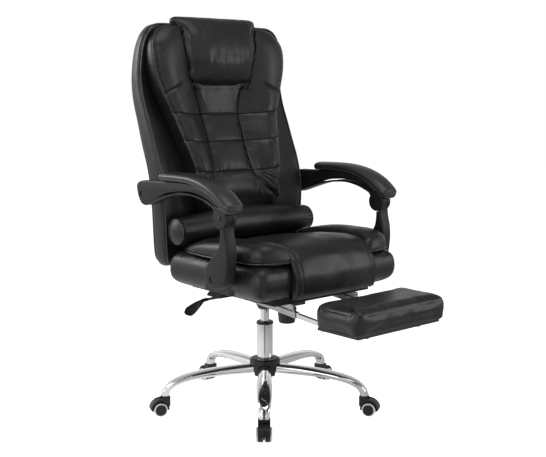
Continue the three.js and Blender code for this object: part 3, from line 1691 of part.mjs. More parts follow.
function guideGeometry(x) {
  const outer = railBox(x, railOuterWidth, railOuterHeight, railFrontY, railRearY);
  const inner = railBox(
    x,
    railOuterWidth - 2 * railWall,
    railOuterHeight - 2 * railWall,
    railFrontY - cutOver,
    railRearY + cutOver,
  );
  const hangerTop = panBottomHeight - seatGap;
  const hanger = sidePlate(
    outline([
      [hangerFrontY, railHeightAt(hangerFrontY)],
      [railRearY, railHeightAt(railRearY)],
      [railRearY, hangerTop],
      [hangerFrontY, hangerTop],
    ]),
    x - hangerThickness / 2,
    x + hangerThickness / 2,
    1,
  );
  return cut(join(outer, hanger), inner);
}
piece(footrest, "footrest_guide_left", guideGeometry(railX), steelFinish);
piece(footrest, "footrest_guide_right", guideGeometry(-railX), steelFinish);

// The sliding frame: a bar in each guide and a hinge tube across their front ends
function footFrameGeometry() {
  const barHeight = railOuterHeight - 2 * railWall - 2 * seatGap;
  const bars = [-railX, railX].map((x) => railBox(x, sliderWidth, barHeight, footHingeY, sliderRearY));
  const tube = crossbar(
    footHingeDiameter / 2,
    -railX - sliderWidth / 2,
    railX + sliderWidth / 2,
    footHingeY,
    footHingeHeight,
    pinFacets,
  );
  const drops = [-railX, railX].map((x) => {
    return block(
      [x - sliderWidth / 2, footHingeY - footHingeDiameter / 2, footHingeHeight],
      [x + sliderWidth / 2, footHingeY + footHingeDiameter / 2, railHeightAt(footHingeY) + barHeight / 2],
    );
  });
  return join(...bars, tube, ...drops);
}
piece(footrest, "footrest_frame", footFrameGeometry(), chromeFinish);

// The board under the cushion, with two lugs round the hinge tube and two bars
function footBoardGeometry() {
  const half = footCushionWidth / 2 - footBoardMargin;
  const top = footCushionBottomHeight - seatGap;
  const bottom = top - footBoardThickness;
  const board = block([-half, footCushionFrontY + footBoardMargin, bottom], [half, footCushionRearY, top]);
  const barDown = bottom - footBarDiameter / 2 + seatGap;
  const lugWidth = sliderWidth;
  const parts = [-1, 1].flatMap((side) => {
    const lugX = side * (footBarX - 2 * lugWidth);
    return [
      block(
        [lugX - lugWidth / 2, footCushionRearY - lugWidth, footHingeHeight - footHingeDiameter * 0.8],
        [lugX + lugWidth / 2, footHingeY + footHingeDiameter, bottom + seatGap],
      ),
      block(
        [lugX - footBarDiameter / 2, footCushionRearY - footBarLength, barDown - footBarDiameter / 2],
        [lugX + footBarDiameter / 2, footCushionRearY, barDown + footBarDiameter / 2],
      ),
    ];
  });
  const hole = crossbar(
    footHingeDiameter / 2 + seatGap,
    -footCushionWidth,
    footCushionWidth,
    footHingeY,
    footHingeHeight,
    pinFacets,
  );
  return cut(join(board, ...parts), hole);
}
piece(footrest, "footrest_board", footBoardGeometry(), steelFinish);

function footCushionGeometry() {
  const rise = footCushionTopHeight - footCushionBottomHeight;
  const heightShares = [0, 0.06, 0.25, 0.55, 0.78, 0.9, 0.97, 1];
  const insetShares = [0.7, 0.2, 0, 0, 0.08, 0.35, 1, 2.4];
  const inset = 9;
  const corner = 14;
  const drawIn = 3;
  const rings = heightShares.map((share, i) => {
    const pull = inset * insetShares[i];
    return roundedRing(
      footCushionFrontY + pull,
      footCushionRearY - pull,
      footCushionWidth / 2 - pull,
      Math.max(corner - pull / 2, corner / 3),
      drawIn,
      footCushionBottomHeight + rise * share,
    );
  });
  return loft(rings);
}
piece(footrest, "footrest_cushion", footCushionGeometry(), leatherFinish);

export default chair;
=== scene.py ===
# Looks for the reclining office chair: leather cushions, moulded arms, chromed base and castors.
# Lengths are in millimetres until a mesh is made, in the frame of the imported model:
# the origin is on the floor under the column, the chair faces -Y and +X is the sitter's left.

import json
import math

import bmesh
import bpy
import numpy as np
from mathutils import Matrix, Vector, noise
from mathutils.bvhtree import BVHTree


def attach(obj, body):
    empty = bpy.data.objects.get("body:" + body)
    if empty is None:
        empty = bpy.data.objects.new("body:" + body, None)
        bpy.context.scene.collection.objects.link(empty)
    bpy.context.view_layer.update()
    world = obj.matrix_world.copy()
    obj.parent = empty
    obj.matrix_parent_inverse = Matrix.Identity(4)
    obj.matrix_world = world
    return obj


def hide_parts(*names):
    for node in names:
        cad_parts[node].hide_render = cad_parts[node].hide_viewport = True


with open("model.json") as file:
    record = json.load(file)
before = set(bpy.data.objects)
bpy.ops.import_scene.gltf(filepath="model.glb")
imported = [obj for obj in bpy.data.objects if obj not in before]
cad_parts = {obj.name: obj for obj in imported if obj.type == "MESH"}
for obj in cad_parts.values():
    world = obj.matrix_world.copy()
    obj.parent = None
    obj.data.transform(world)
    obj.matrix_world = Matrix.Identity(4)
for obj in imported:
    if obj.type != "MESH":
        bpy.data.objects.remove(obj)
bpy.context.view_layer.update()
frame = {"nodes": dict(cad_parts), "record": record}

MM = 0.001
LEFT, RIGHT = 1, -1
SIDES = (("left", LEFT), ("right", RIGHT))


# Tables and curves


def between(u, here, there, slope_in, slope_out):
    """A cubic from one value to the next, with a slope at each end."""
    u2, u3 = u * u, u * u * u
    return (
        here * (2 * u3 - 3 * u2 + 1)
        + slope_in * (u3 - 2 * u2 + u)
        + there * (3 * u2 - 2 * u3)
        + slope_out * (u3 - u2)
    )


def smooth_table(places, values):
    """A smooth curve through a table, as a function of place."""
    places, values = np.asarray(places, float), np.asarray(values, float)
    steps = np.diff(places)
    slopes = np.diff(values) / steps
    inner = [2 * a * b / (a + b) if a * b > 0 else 0 for a, b in zip(slopes, slopes[1:])]
    tangents = np.array([slopes[0], *inner, slopes[-1]])

    def at(place):
        place = np.clip(np.asarray(place, float), places[0], places[-1])
        i = np.clip(np.searchsorted(places, place, side="right") - 1, 0, len(steps) - 1)
        u = (place - places[i]) / steps[i]
        return between(u, values[i], values[i + 1], tangents[i] * steps[i], tangents[i + 1] * steps[i])

    return at


def curve_of(shares):
    """A smooth curve through shares at even steps from 0 to 1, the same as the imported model's."""
    shares = np.asarray(shares, float)
    last = len(shares) - 1

    def at(t):
        place = np.clip(np.asarray(t, float), 0, 1) * last
        index = np.minimum(place.astype(int), last - 1)
        before, here, there, after = (shares[np.clip(index + k, 0, last)] for k in (-1, 0, 1, 2))
        return between(place - index, here, there, (there - before) / 2, (after - here) / 2)

    return at


def smoothstep(x, low, high):
    t = np.clip((np.asarray(x, float) - low) / (high - low), 0, 1)
    return t * t * (3 - 2 * t)


def groove(distance, reach):
    return np.exp(-((distance / reach) ** 2))


def bend(share, depth=1.0):
    """How far a rounded edge has fallen away, from 0 to 1, as the share goes from 0 to 1."""
    return 1 - np.sqrt(1 - depth * share**2)


def power(value, exponent):
    """The rounder or squarer cosine of a ring that lies between an ellipse and a rectangle."""
    return np.sign(value) * np.abs(value) ** (2 / exponent)


def spots_at(x, y, z):
    """Points from their three coordinates, each one number or many."""
    return np.stack(np.broadcast_arrays(x, y, z), axis=-1)


def resample(line, count):
    lengths = np.concatenate([[0], np.cumsum(np.linalg.norm(np.diff(line, axis=0), axis=1))])
    wanted = np.linspace(0, lengths[-1], count)
    return np.stack([np.interp(wanted, lengths, column) for column in line.T], axis=1)


def smooth_line(points, count):
    """A smooth line through points, evenly sampled along its length."""
    points = np.asarray(points, float)
    gaps = np.sqrt(np.linalg.norm(np.diff(points, axis=0), axis=1))
    knots = np.concatenate([[0], np.cumsum(gaps)])
    padded = np.vstack([2 * points[0] - points[1], points, 2 * points[-1] - points[-2]])
    padded_knots = np.concatenate([[knots[0] - gaps[0]], knots, [knots[-1] + gaps[-1]]])

    def mix(a, b, t, start, end):
        return (end - t) / (end - start) * a + (t - start) / (end - start) * b

    line = []
    for t in np.linspace(0, knots[-1], count * 8):
        i = min(max(np.searchsorted(knots, t, side="right") - 1, 0), len(points) - 2)
        p, k = padded[i : i + 4], padded_knots[i : i + 4]
        p = [mix(p[j], p[j + 1], t, k[j], k[j + 1]) for j in range(3)]
        p = [mix(p[j], p[j + 1], t, k[j], k[j + 2]) for j in range(2)]
        line.append(mix(p[0], p[1], t, k[1], k[2]))
    return resample(np.array(line), count)


def wander(points, size, seed):
    """Smooth noise from -1 to 1 at points, with features of about that size."""
    points = np.asarray(points, float)
    shift = Vector((seed * 17.3, seed * 5.1, seed * 29.7))
    values = [noise.noise(Vector(p) + shift) for p in points.reshape(-1, 3) / size]
    return np.array(values).reshape(points.shape[:-1])


def ease_ends(count):
    """Places from 0 to 1 that lie closer together at both ends."""
    return 0.5 - 0.5 * np.cos(np.pi * np.linspace(0, 1, count))


def turn_angles(count):
    return np.linspace(0, 2 * np.pi, count, endpoint=False)


# Meshes


def add_object(name, mesh):
    piece = bpy.data.objects.new(name, mesh)
    bpy.context.scene.collection.objects.link(piece)
    return piece


def shade(piece, angle=None):
    """Smooth shading, with the edges sharper than an angle in degrees kept."""
    piece.data.shade_smooth()
    if angle is not None:
        piece.data.set_sharp_from_angle(angle=math.radians(angle))
    return piece


def clean_object(name, mesh, angle=None):
    """An object of a mesh, with its doubled points joined and its faces turned outwards."""
    build = bmesh.new()
    build.from_mesh(mesh)
    bmesh.ops.remove_doubles(build, verts=build.verts, dist=1e-6)
    bmesh.ops.recalc_face_normals(build, faces=build.faces)
    build.to_mesh(mesh)
    build.free()
    return shade(add_object(name, mesh), angle)


def to_object(name, vertices, faces, angle=None):
    mesh = bpy.data.meshes.new(name)
    mesh.from_pydata([tuple(v) for v in np.asarray(vertices, float) * MM], [], faces)
    return clean_object(name, mesh, angle)


def ring_faces(rows, columns, closed=False, first=0):
    """Faces between rings of points that lie one after another."""
    faces = []
    for i in range(rows if closed else rows - 1):
        here, there = first + i * columns, first + (i + 1) % rows * columns
        for j in range(columns):
            after = (j + 1) % columns
            faces.append((here + j, here + after, there + after, there + j))
    return faces


def loft(name, rings, angle=None, close_ends=True):
    """A closed form through rings of equal counts, with a middle point in each end."""
    rings = np.asarray(rings, float)
    rows, columns = rings.shape[:2]
    vertices = list(rings.reshape(-1, 3))
    faces = ring_faces(rows, columns)
    for row in (0, rows - 1) if close_ends else ():
        middle = len(vertices)
        vertices.append(rings[row].mean(axis=0))
        faces += [(row * columns + j, row * columns + (j + 1) % columns, middle) for j in range(columns)]
    return to_object(name, vertices, faces, angle)


def turned(name, profile, axis=(0, 0, 1), place=(0, 0, 0), facets=64, angle=35):
    """A profile of [radius, along] turned about an axis through a place."""
    axis = Vector(axis).normalized()
    across = axis.orthogonal().normalized()
    up = axis.cross(across)
    angles = [2 * math.pi * i / facets for i in range(facets)]
    rings = []
    for radius, along in profile:
        middle = Vector(place) + axis * along
        rings.append([middle + (across * math.cos(a) + up * math.sin(a)) * radius for a in angles])
    return loft(name, rings, angle)


def rod(radius, low, high, inner=0):
    """The profile of a plain rod or ring, to be turned."""
    return [(inner, low), (radius, low), (radius, high), (inner, high)]


def rounded(corners, radius, steps=4):
    """A profile with its inner corners rounded."""
    corners = [Vector((*c, 0)) for c in corners]
    line = [corners[0]]
    for before, here, after in zip(corners, corners[1:], corners[2:]):
        to_before, to_after = before - here, after - here
        reach = min(radius, to_before.length * 0.45, to_after.length * 0.45)
        start = here + to_before.normalized() * reach
        end = here + to_after.normalized() * reach
        for i in range(steps + 1):
            t = i / steps
            line.append(start.lerp(here, t).lerp(here.lerp(end, t), t))
    line.append(corners[-1])
    return [(p.x, p.y) for p in line]


def sweep(name, line, radius, sides=10, closed=False):
    """A round cord along a line; radius may be one number or one for each point."""
    line = np.asarray(line, float)
    count = len(line)
    radii = np.broadcast_to(np.asarray(radius, float), (count,))
    ahead = np.roll(line, -1, axis=0) - np.roll(line, 1, axis=0)
    if not closed:
        ahead[0], ahead[-1] = line[1] - line[0], line[-1] - line[-2]
    ahead /= np.linalg.norm(ahead, axis=1)[:, None]
    across = Vector(ahead[0]).orthogonal().normalized()
    angles = [2 * math.pi * k / sides for k in range(sides)]
    rings = []
    for spot, tangent, reach in zip(line, map(Vector, ahead), radii):
        across = (across - tangent * across.dot(tangent)).normalized()
        up = tangent.cross(across)
        rings.append([Vector(spot) + (across * math.cos(a) + up * math.sin(a)) * reach for a in angles])
    if not closed:
        return loft(name, rings)
    return to_object(name, np.array(rings, float).reshape(-1, 3), ring_faces(count, sides, True))


def plate(name, outline, half, rounding, holes=(), place_x=0, steps=4):
    """A plate in the Y-Z plane with rounded edges, and holes through it."""
    curve = bpy.data.curves.new(name, "CURVE")
    curve.dimensions = "2D"
    curve.fill_mode = "BOTH"
    curve.extrude = (half - rounding) * MM
    curve.bevel_depth = rounding * MM
    curve.bevel_resolution = steps
    curve.offset = -rounding * MM
    for loop in (outline, *holes):
        spline = curve.splines.new("POLY")
        spline.points.add(len(loop) - 1)
        for point, (y, z) in zip(spline.points, loop):
            point.co = (y * MM, z * MM, 0, 1)
        spline.use_cyclic_u = True
    holder = add_object(name + "_curve", curve)
    bpy.context.view_layer.update()
    shown = holder.evaluated_get(bpy.context.evaluated_depsgraph_get())
    mesh = bpy.data.meshes.new_from_object(shown)
    bpy.data.objects.remove(holder)
    bpy.data.curves.remove(curve)
    mesh.name = name
    mesh.materials.clear()
    mesh.transform(Matrix(((0, 0, 1, place_x * MM), (1, 0, 0, 0), (0, 1, 0, 0), (0, 0, 0, 1))))
    return clean_object(name, mesh, 40)


def merge(name, pieces, angle):
    """Several objects as one."""
    build = bmesh.new()
    for piece in pieces:
        build.from_mesh(piece.data)
    mesh = bpy.data.meshes.new(name)
    build.to_mesh(mesh)
    build.free()
    for piece in pieces:
        bpy.data.objects.remove(piece)
    return shade(add_object(name, mesh), angle)


def apply_modifiers(piece):
    bpy.context.view_layer.update()
    shown = piece.evaluated_get(bpy.context.evaluated_depsgraph_get())
    mesh = bpy.data.meshes.new_from_object(shown)
    old = piece.data
    piece.modifiers.clear()
    piece.data = mesh
    bpy.data.meshes.remove(old)


def cut_away(piece, *cutters):
    """Takes each cutter's space out of a piece."""
    for cutter in cutters:
        modifier = piece.modifiers.new("cut", "BOOLEAN")
        modifier.operation = "DIFFERENCE"
        modifier.solver = "EXACT"
        modifier.object = cutter
        apply_modifiers(piece)
        bpy.data.objects.remove(cutter)
    return piece


def placed(piece, matrix, name):
    """A copy of a piece, moved by a matrix that may also mirror it."""
    mesh = piece.data.copy()
    mesh.transform(matrix)
    if matrix.determinant() < 0:
        mesh.flip_normals()
    return add_object(name, mesh)


def stitches(name, line, pitch, length, radius):
    """A row of thread stitches along a line."""
    count = max(int(np.sum(np.linalg.norm(np.diff(line, axis=0), axis=1)) / pitch), 2)
    spots = [Vector(spot) for spot in resample(np.asarray(line, float), count * 2 + 1)]
    sides = 5
    vertices, faces = [], []
    for before, middle, after in zip(spots[::2], spots[1::2], spots[2::2]):
        ahead = (after - before).normalized()
        across = ahead.orthogonal().normalized()
        up = ahead.cross(across)
        base = len(vertices)
        for along, swell_out in ((-0.5, 0.35), (-0.3, 1), (0.3, 1), (0.5, 0.35)):
            for k in range(sides):
                angle = 2 * math.pi * k / sides
                spot = middle + ahead * along * length
                spot += (across * math.cos(angle) + up * math.sin(angle)) * radius * swell_out
                vertices.append(tuple(spot))
        faces += ring_faces(4, sides, first=base)
        faces += [tuple(range(end, end + sides)) for end in (base, base + 3 * sides)]
    return to_object(name, vertices, faces)


# Cloth and folds


def points_of(piece, what="co"):
    flat = np.empty(len(piece.data.vertices) * 3)
    piece.data.vertices.foreach_get(what, flat)
    return flat.reshape(-1, 3)


def move_to(piece, spots):
    piece.data.vertices.foreach_set("co", np.asarray(spots, float).ravel())
    piece.data.update()


def ease(piece, field, rounds):
    """A field of vectors on a piece's points, evened out between neighbours."""
    edges = np.empty(len(piece.data.edges) * 2, dtype=int)
    piece.data.edges.foreach_get("vertices", edges)
    one, other = edges.reshape(-1, 2).T
    number = np.bincount(edges, minlength=len(field))[:, None]
    for _ in range(rounds):
        total = np.zeros_like(field)
        for axis in range(3):
            total[:, axis] = np.bincount(one, field[other, axis], len(field))
            total[:, axis] += np.bincount(other, field[one, axis], len(field))
        field = 0.4 * field + 0.6 * total / np.maximum(number, 1)
    return field


def laid_on(piece, line, lift):
    """A line moved onto a piece's surface and lifted."""
    faces = [tuple(face.vertices) for face in piece.data.polygons]
    tree = BVHTree.FromPolygons(points_of(piece) / MM, faces)
    found = [tree.find_nearest(Vector(spot)) for spot in line]
    return np.array([tuple(place + normal * lift) for place, normal, _, _ in found])


def swell(piece, voxel, cap, hold):
    """Lets cloth swell a closed piece, no further than the cap, and keeps the result."""
    remesh = piece.modifiers.new("even", "REMESH")
    remesh.mode = "VOXEL"
    remesh.voxel_size = voxel * MM
    apply_modifiers(piece)
    start = points_of(piece)
    cloth = piece.modifiers.new("swell", "CLOTH")
    settings = cloth.settings
    settings.quality = 4
    settings.mass = 0.3
    settings.tension_stiffness = 22
    settings.compression_stiffness = 12
    settings.shear_stiffness = 8
    settings.bending_stiffness = 0.5
    settings.use_pressure = True
    settings.uniform_pressure_force = 4
    settings.effector_weights.gravity = 0
    cloth.collision_settings.use_collision = False
    cloth.point_cache.frame_start = 1
    cloth.point_cache.frame_end = 20
    for step in range(1, 21):
        bpy.context.scene.frame_set(step)
    shown = piece.evaluated_get(bpy.context.evaluated_depsgraph_get())
    moved = ease(piece, points_of(shown) - start, 10)
    piece.modifiers.clear()
    bpy.context.scene.frame_set(1)
    length = np.linalg.norm(moved, axis=1)
    limit = np.minimum(length, cap * MM) / np.maximum(length, 1e-9)
    start = start + moved * limit[:, None]
    move_to(piece, hold(start / MM) * MM)
    finer = piece.modifiers.new("finer", "SUBSURF")
    finer.levels = finer.render_levels = 1
    apply_modifiers(piece)
    return shade(piece)


def crease(piece, field, hold):
    """Moves a piece's points outwards by a field."""
    spots = points_of(piece) / MM
    spots = hold(spots + points_of(piece, "normal") * field(spots)[:, None])
    move_to(piece, spots * MM)
    return shade(piece)


# Shader groups and materials


def add_node(tree, kind, inputs=None, **settings):
    """A node with its settings and its inputs, each a value or another node's output."""
    node = tree.nodes.new(kind)
    for key, value in settings.items():
        setattr(node, key, value)
    for key, value in (inputs or {}).items():
        feed(tree, node.inputs[key], value)
    return node


def feed(tree, socket, value):
    if isinstance(value, bpy.types.NodeSocket):
        tree.links.new(value, socket)
    else:
        socket.default_value = value


def maths(tree, operation, a, b, clamp=False):
    node = add_node(tree, "ShaderNodeMath", {0: a, 1: b}, operation=operation, use_clamp=clamp)
    return node.outputs[0]


def remap(tree, value, low, high, to_low, to_high):
    numbers = {0: value, 1: low, 2: high, 3: to_low, 4: to_high}
    return add_node(tree, "ShaderNodeMapRange", numbers).outputs[0]


def noise_map(tree, spot, **inputs):
    return add_node(tree, "ShaderNodeTexNoise", {"Vector": spot, **inputs})


def own_place(tree):
    return add_node(tree, "ShaderNodeTexCoord").outputs["Object"]


def new_group(name, inputs, outputs):
    """An empty shader group, as its tree, its input sockets and its output node."""
    tree = bpy.data.node_groups.new(name, "ShaderNodeTree")
    for label, value in inputs.items():
        kind = "NodeSocketVector" if isinstance(value, tuple) else "NodeSocketFloat"
        tree.interface.new_socket(label, in_out="INPUT", socket_type=kind).default_value = value
    for label in outputs:
        tree.interface.new_socket(label, in_out="OUTPUT", socket_type="NodeSocketFloat")
    return tree, tree.nodes.new("NodeGroupInput").outputs, tree.nodes.new("NodeGroupOutput").inputs


def grain_group():
    """Pebbled leather: cells with creases between them, over a slow change of depth."""
    tree, given, out = new_group("leather grain", {"Size": 0.0016, "Crease": 0.5}, ("Height", "Mottle"))
    spot = own_place(tree)
    scale = maths(tree, "DIVIDE", 1.0, given["Size"])
    waves = noise_map(tree, spot, Scale=60.0, Detail=2.0)
    bent = add_node(tree, "ShaderNodeMix", {0: 0.012, 4: spot, 5: waves.outputs["Color"]}, data_type="VECTOR")
    at = {"Vector": bent.outputs[1], "Scale": scale}
    cells = add_node(tree, "ShaderNodeTexVoronoi", at, feature="DISTANCE_TO_EDGE")
    edges = remap(tree, cells.outputs["Distance"], 0.0, 0.22, 0.0, 1.0)
    fine = noise_map(tree, spot, Scale=maths(tree, "MULTIPLY", scale, 1.7), Detail=3.0, Roughness=0.6)
    creased = maths(tree, "MULTIPLY", edges, given["Crease"])
    feed(tree, out["Height"], maths(tree, "ADD", creased, maths(tree, "MULTIPLY", fine.outputs[0], 0.4)))
    slow = noise_map(tree, spot, Scale=14.0, Detail=4.0, Roughness=0.55)
    feed(tree, out["Mottle"], slow.outputs[0])
    return tree


def wear_group():
    """A mask of rubbed edges."""
    tree, given, out = new_group("edge wear", {"Sharpness": 6.0, "Patches": 30.0}, ("Mask",))
    shape = add_node(tree, "ShaderNodeNewGeometry").outputs["Pointiness"]
    raised = maths(tree, "SUBTRACT", shape, 0.5)
    sharp = maths(tree, "MULTIPLY", raised, given["Sharpness"], True)
    patches = noise_map(tree, own_place(tree), Scale=given["Patches"], Detail=4.0, Roughness=0.6)
    feed(tree, out["Mask"], maths(tree, "MULTIPLY", sharp, patches.outputs[0]))
    return tree


def moulding_group():
    """A fine moulded texture, as on spark-eroded plastic."""
    tree, given, out = new_group("moulded texture", {"Size": 0.0009}, ("Height", "Tone"))
    spot = own_place(tree)
    scale = maths(tree, "DIVIDE", 1.0, given["Size"])
    feed(tree, out["Height"], noise_map(tree, spot, Scale=scale, Detail=2.0, Roughness=0.5).outputs[0])
    feed(tree, out["Tone"], noise_map(tree, spot, Scale=22.0, Detail=3.0).outputs[0])
    return tree


def metal_group():
    """Fine drawn lines and smudges on metal."""
    inputs = {"Along": (1.0, 1.0, 1.0), "Scale": 60.0}
    tree, given, out = new_group("metal marks", inputs, ("Height", "Smudge"))
    spot = own_place(tree)
    drawn = add_node(tree, "ShaderNodeVectorMath", {0: spot, 1: given["Along"]}, operation="MULTIPLY")
    feed(tree, out["Height"], noise_map(tree, drawn.outputs[0], Scale=given["Scale"], Detail=3.0).outputs[0])
    feed(tree, out["Smudge"], noise_map(tree, spot, Scale=18.0, Detail=4.0, Roughness=0.6).outputs[0])
    return tree


GRAIN, WEAR, MOULDING, METAL_MARKS = grain_group(), wear_group(), moulding_group(), metal_group()


def start_material(name, colour, metallic=0.0, roughness=0.5, specular=0.5):
    material = bpy.data.materials.new(name)
    material.use_nodes = True
    shader = material.node_tree.nodes["Principled BSDF"]
    shader.inputs["Base Color"].default_value = (*colour, 1)
    shader.inputs["Metallic"].default_value = metallic
    shader.inputs["Roughness"].default_value = roughness
    shader.inputs["Specular IOR Level"].default_value = specular
    shader.inputs["Coat Weight"].default_value = 0.0
    shader.inputs["Coat Roughness"].default_value = 0.1
    return material, material.node_tree, shader.inputs


def place_group(tree, group, **values):
    node = tree.nodes.new("ShaderNodeGroup")
    node.node_tree = group
    for key, value in values.items():
        node.inputs[key].default_value = value
    return node.outputs


def colour_mix(tree, factor, low, high):
    colours = {0: factor, 6: (*low, 1), 7: (*high, 1)}
    return add_node(tree, "ShaderNodeMix", colours, data_type="RGBA").outputs[2]


def bump(tree, height, strength, distance):
    inputs = {"Strength": strength, "Distance": distance, "Height": height}
    return add_node(tree, "ShaderNodeBump", inputs).outputs[0]


def leather(name, dark, light, rough, grain_size, grain_strength, specular):
    material, tree, given = start_material(name, dark, specular=specular)
    grain = place_group(tree, GRAIN, Size=grain_size)
    wear = place_group(tree, WEAR, Sharpness=5.0, Patches=24.0)
    tone = maths(tree, "ADD", remap(tree, grain["Mottle"], 0.3, 0.7, 0.0, 0.6), wear["Mask"])
    feed(tree, given["Base Color"], colour_mix(tree, tone, dark, light))
    feed(tree, given["Roughness"], remap(tree, grain["Mottle"], 0.25, 0.75, *rough))
    feed(tree, given["Normal"], bump(tree, grain["Height"], grain_strength, 0.0004))
    return material


def plastic(name, dark, light, rough, specular=0.5, size=0.0009, strength=0.12):
    material, tree, given = start_material(name, dark, specular=specular)
    texture = place_group(tree, MOULDING, Size=size)
    wear = place_group(tree, WEAR, Sharpness=7.0, Patches=40.0)
    tone = maths(tree, "ADD", remap(tree, texture["Tone"], 0.3, 0.7, 0.0, 0.5), wear["Mask"])
    feed(tree, given["Base Color"], colour_mix(tree, tone, dark, light))
    feed(tree, given["Roughness"], remap(tree, texture["Tone"], 0.3, 0.7, *rough))
    feed(tree, given["Normal"], bump(tree, texture["Height"], strength, 0.0003))
    return material


def metal(name, dark, light, rough, strength):
    material, tree, given = start_material(name, dark, metallic=1.0)
    marks = place_group(tree, METAL_MARKS, Along=(1.0, 1.0, 1.0), Scale=70.0)
    tone = remap(tree, marks["Smudge"], 0.3, 0.7, 0.0, 1.0)
    feed(tree, given["Base Color"], colour_mix(tree, tone, dark, light))
    feed(tree, given["Roughness"], remap(tree, marks["Smudge"], 0.3, 0.7, *rough))
    feed(tree, given["Normal"], bump(tree, marks["Height"], strength, 0.0002))
    return material


def grey(value, blue=0.0):
    return (value, value, value + blue)


BODY_LEATHER = leather(
    "satin black leather", grey(0.0075, 0.0003), grey(0.014, 0.0003), (0.32, 0.42), 0.0017, 0.14, 0.5
)
# Painted highlight: the piping's leather is the body leather painted about twice as light, so every piping
# cord reads as a bright line; its gloss is set higher too.
LIGHTENED_PIPING_LEATHER = leather(
    "leather piping", grey(0.014, 0.0003), grey(0.03, 0.0004), (0.2, 0.28), 0.0012, 0.08, 0.75
)
ARM_SKIN = leather("arm pad skin", grey(0.02, 0.0002), grey(0.032, 0.0002), (0.3, 0.38), 0.0011, 0.08, 0.6)
THREAD = plastic("black thread", grey(0.045, 0.001), grey(0.12), (0.5, 0.6), strength=0.3)
ARM_PLASTIC = plastic("arm moulding", grey(0.009, -0.0004), grey(0.016, -0.001), (0.38, 0.48), 0.36)
BLACK_PLASTIC = plastic("black moulding", grey(0.007, 0.0002), grey(0.014, 0.0003), (0.32, 0.42), 0.4)
RIM_GREY = plastic("pale wheel rim", grey(0.62), grey(0.74), (0.22, 0.32))
# Painted shadow: near-black cords sunk in the seams and creases stand in for the shade inside them, not for
# thread.
SEAM_SHADOW = plastic("black seam shadow cord", grey(0.0025, 0.0001), grey(0.005), (0.7, 0.8), 0.1, strength=0.3)
TREAD = plastic("wheel tread", grey(0.022, 0.001), grey(0.05), (0.5, 0.6))
CHROME = metal("bright chrome", (0.80, 0.805, 0.81), (0.87, 0.875, 0.88), (0.03, 0.06), 0.003)
# Partly painted shade: the zinc's colour is set darker than bare zinc so that the far guide, which lies in
# shade, reads dark.
ZINC = metal("zinc plate", (0.42, 0.425, 0.43), (0.55, 0.555, 0.56), (0.22, 0.32), 0.01)
BLACK_STEEL = plastic(
    "black powder coat", grey(0.012, 0.0005), grey(0.025, 0.001), (0.4, 0.52), size=0.0006, strength=0.2
)
LINING = plastic("black lining cloth", grey(0.01, 0.0005), grey(0.02), (0.8, 0.9), 0.2, 0.0012, 0.4)


def dress(piece, material, body, replaced=()):
    piece.data.materials.clear()
    piece.data.materials.append(material)
    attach(piece, body)
    if replaced:
        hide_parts(*replaced)
    return piece


def cover(piece, body, node):
    """Leather over padding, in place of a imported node."""
    return dress(piece, BODY_LEATHER, body, [node])


def trim(piece, material, body="back"):
    """Piping, seams and stitches."""
    return dress(piece, material, body)


# Back shell

BACK_FOOT, BACK_HEAD, BACK_HALF = 453.0, 1192.0, 285.0
RIM_DATUM, RIM_SWEEP, SHELL_DEPTH, SHELL_DISH = 137.0, 112.0, 92.0, 24.0
SHELL_HEIGHTS = [0, 0.008, 0.022, 0.045, 0.12, 0.2, 0.3, 0.4, 0.5, 0.6, 0.7, 0.8, 0.88, 0.94, 0.975, 0.993, 1]
rim_lean = curve_of([0.036, 0.027, 0.009, 0, 0.04, 0.18, 0.41, 0.634, 0.866, 1, 0.996, 0.95, 0.92])
shell_width, shell_thick, shell_tuck, shell_dish = (
    smooth_table(SHELL_HEIGHTS, values)
    for values in (
        [0.9, 0.93, 0.95, 0.965, 0.98, 0.99, 1, 1, 1, 1, 1.004, 1.006, 0.992, 0.95, 0.885, 0.802, 0.69],
        [0.6, 0.78, 0.97, 1.1, 1.12, 1.14, 1.17, 1.18, 1.14, 1.04, 0.93, 0.82, 0.76, 0.69, 0.58, 0.43, 0.3],
        [0.26, 0.13, 0.05, 0, 0, 0, 0, 0, 0, 0, 0, 0, 0, 0, 0.02, 0.08, 0.14],
        [0.2, 0.4, 0.7, 1, 1, 1, 1, 1, 1, 1, 1, 1, 1, 0.8, 0.5, 0.2, 0],
    )
)
dish_across = smooth_table(
    [0, 0.3, 0.62, 0.71, 0.8, 0.87, 0.93, 0.965, 1], [1, 1, 1, 0.82, 0.55, 0.28, 0.08, 0, 0]
)
SHELL_WALL = [
    [0.97, 0.0], [0.99, 0.012], [1.0, 0.06], [1.003, 0.2], [1.0, 0.4], [0.985, 0.58],
    [0.93, 0.76], [0.82, 0.9], [0.64, 1.02], [0.38, 1.1], [0.14, 1.13], [0.0, 1.133],
]


def back_share(z):
    return (np.asarray(z, float) - BACK_FOOT) / (BACK_HEAD - BACK_FOOT)


def rim_y(z):
    return RIM_DATUM + RIM_SWEEP * rim_lean(back_share(z)) + SHELL_DEPTH * shell_tuck(back_share(z))


def shell_front(x, z):
    share = back_share(z)
    across = np.abs(x) / (BACK_HALF * shell_width(share))
    return rim_y(z) + SHELL_DISH * shell_dish(share) * dish_across(across)


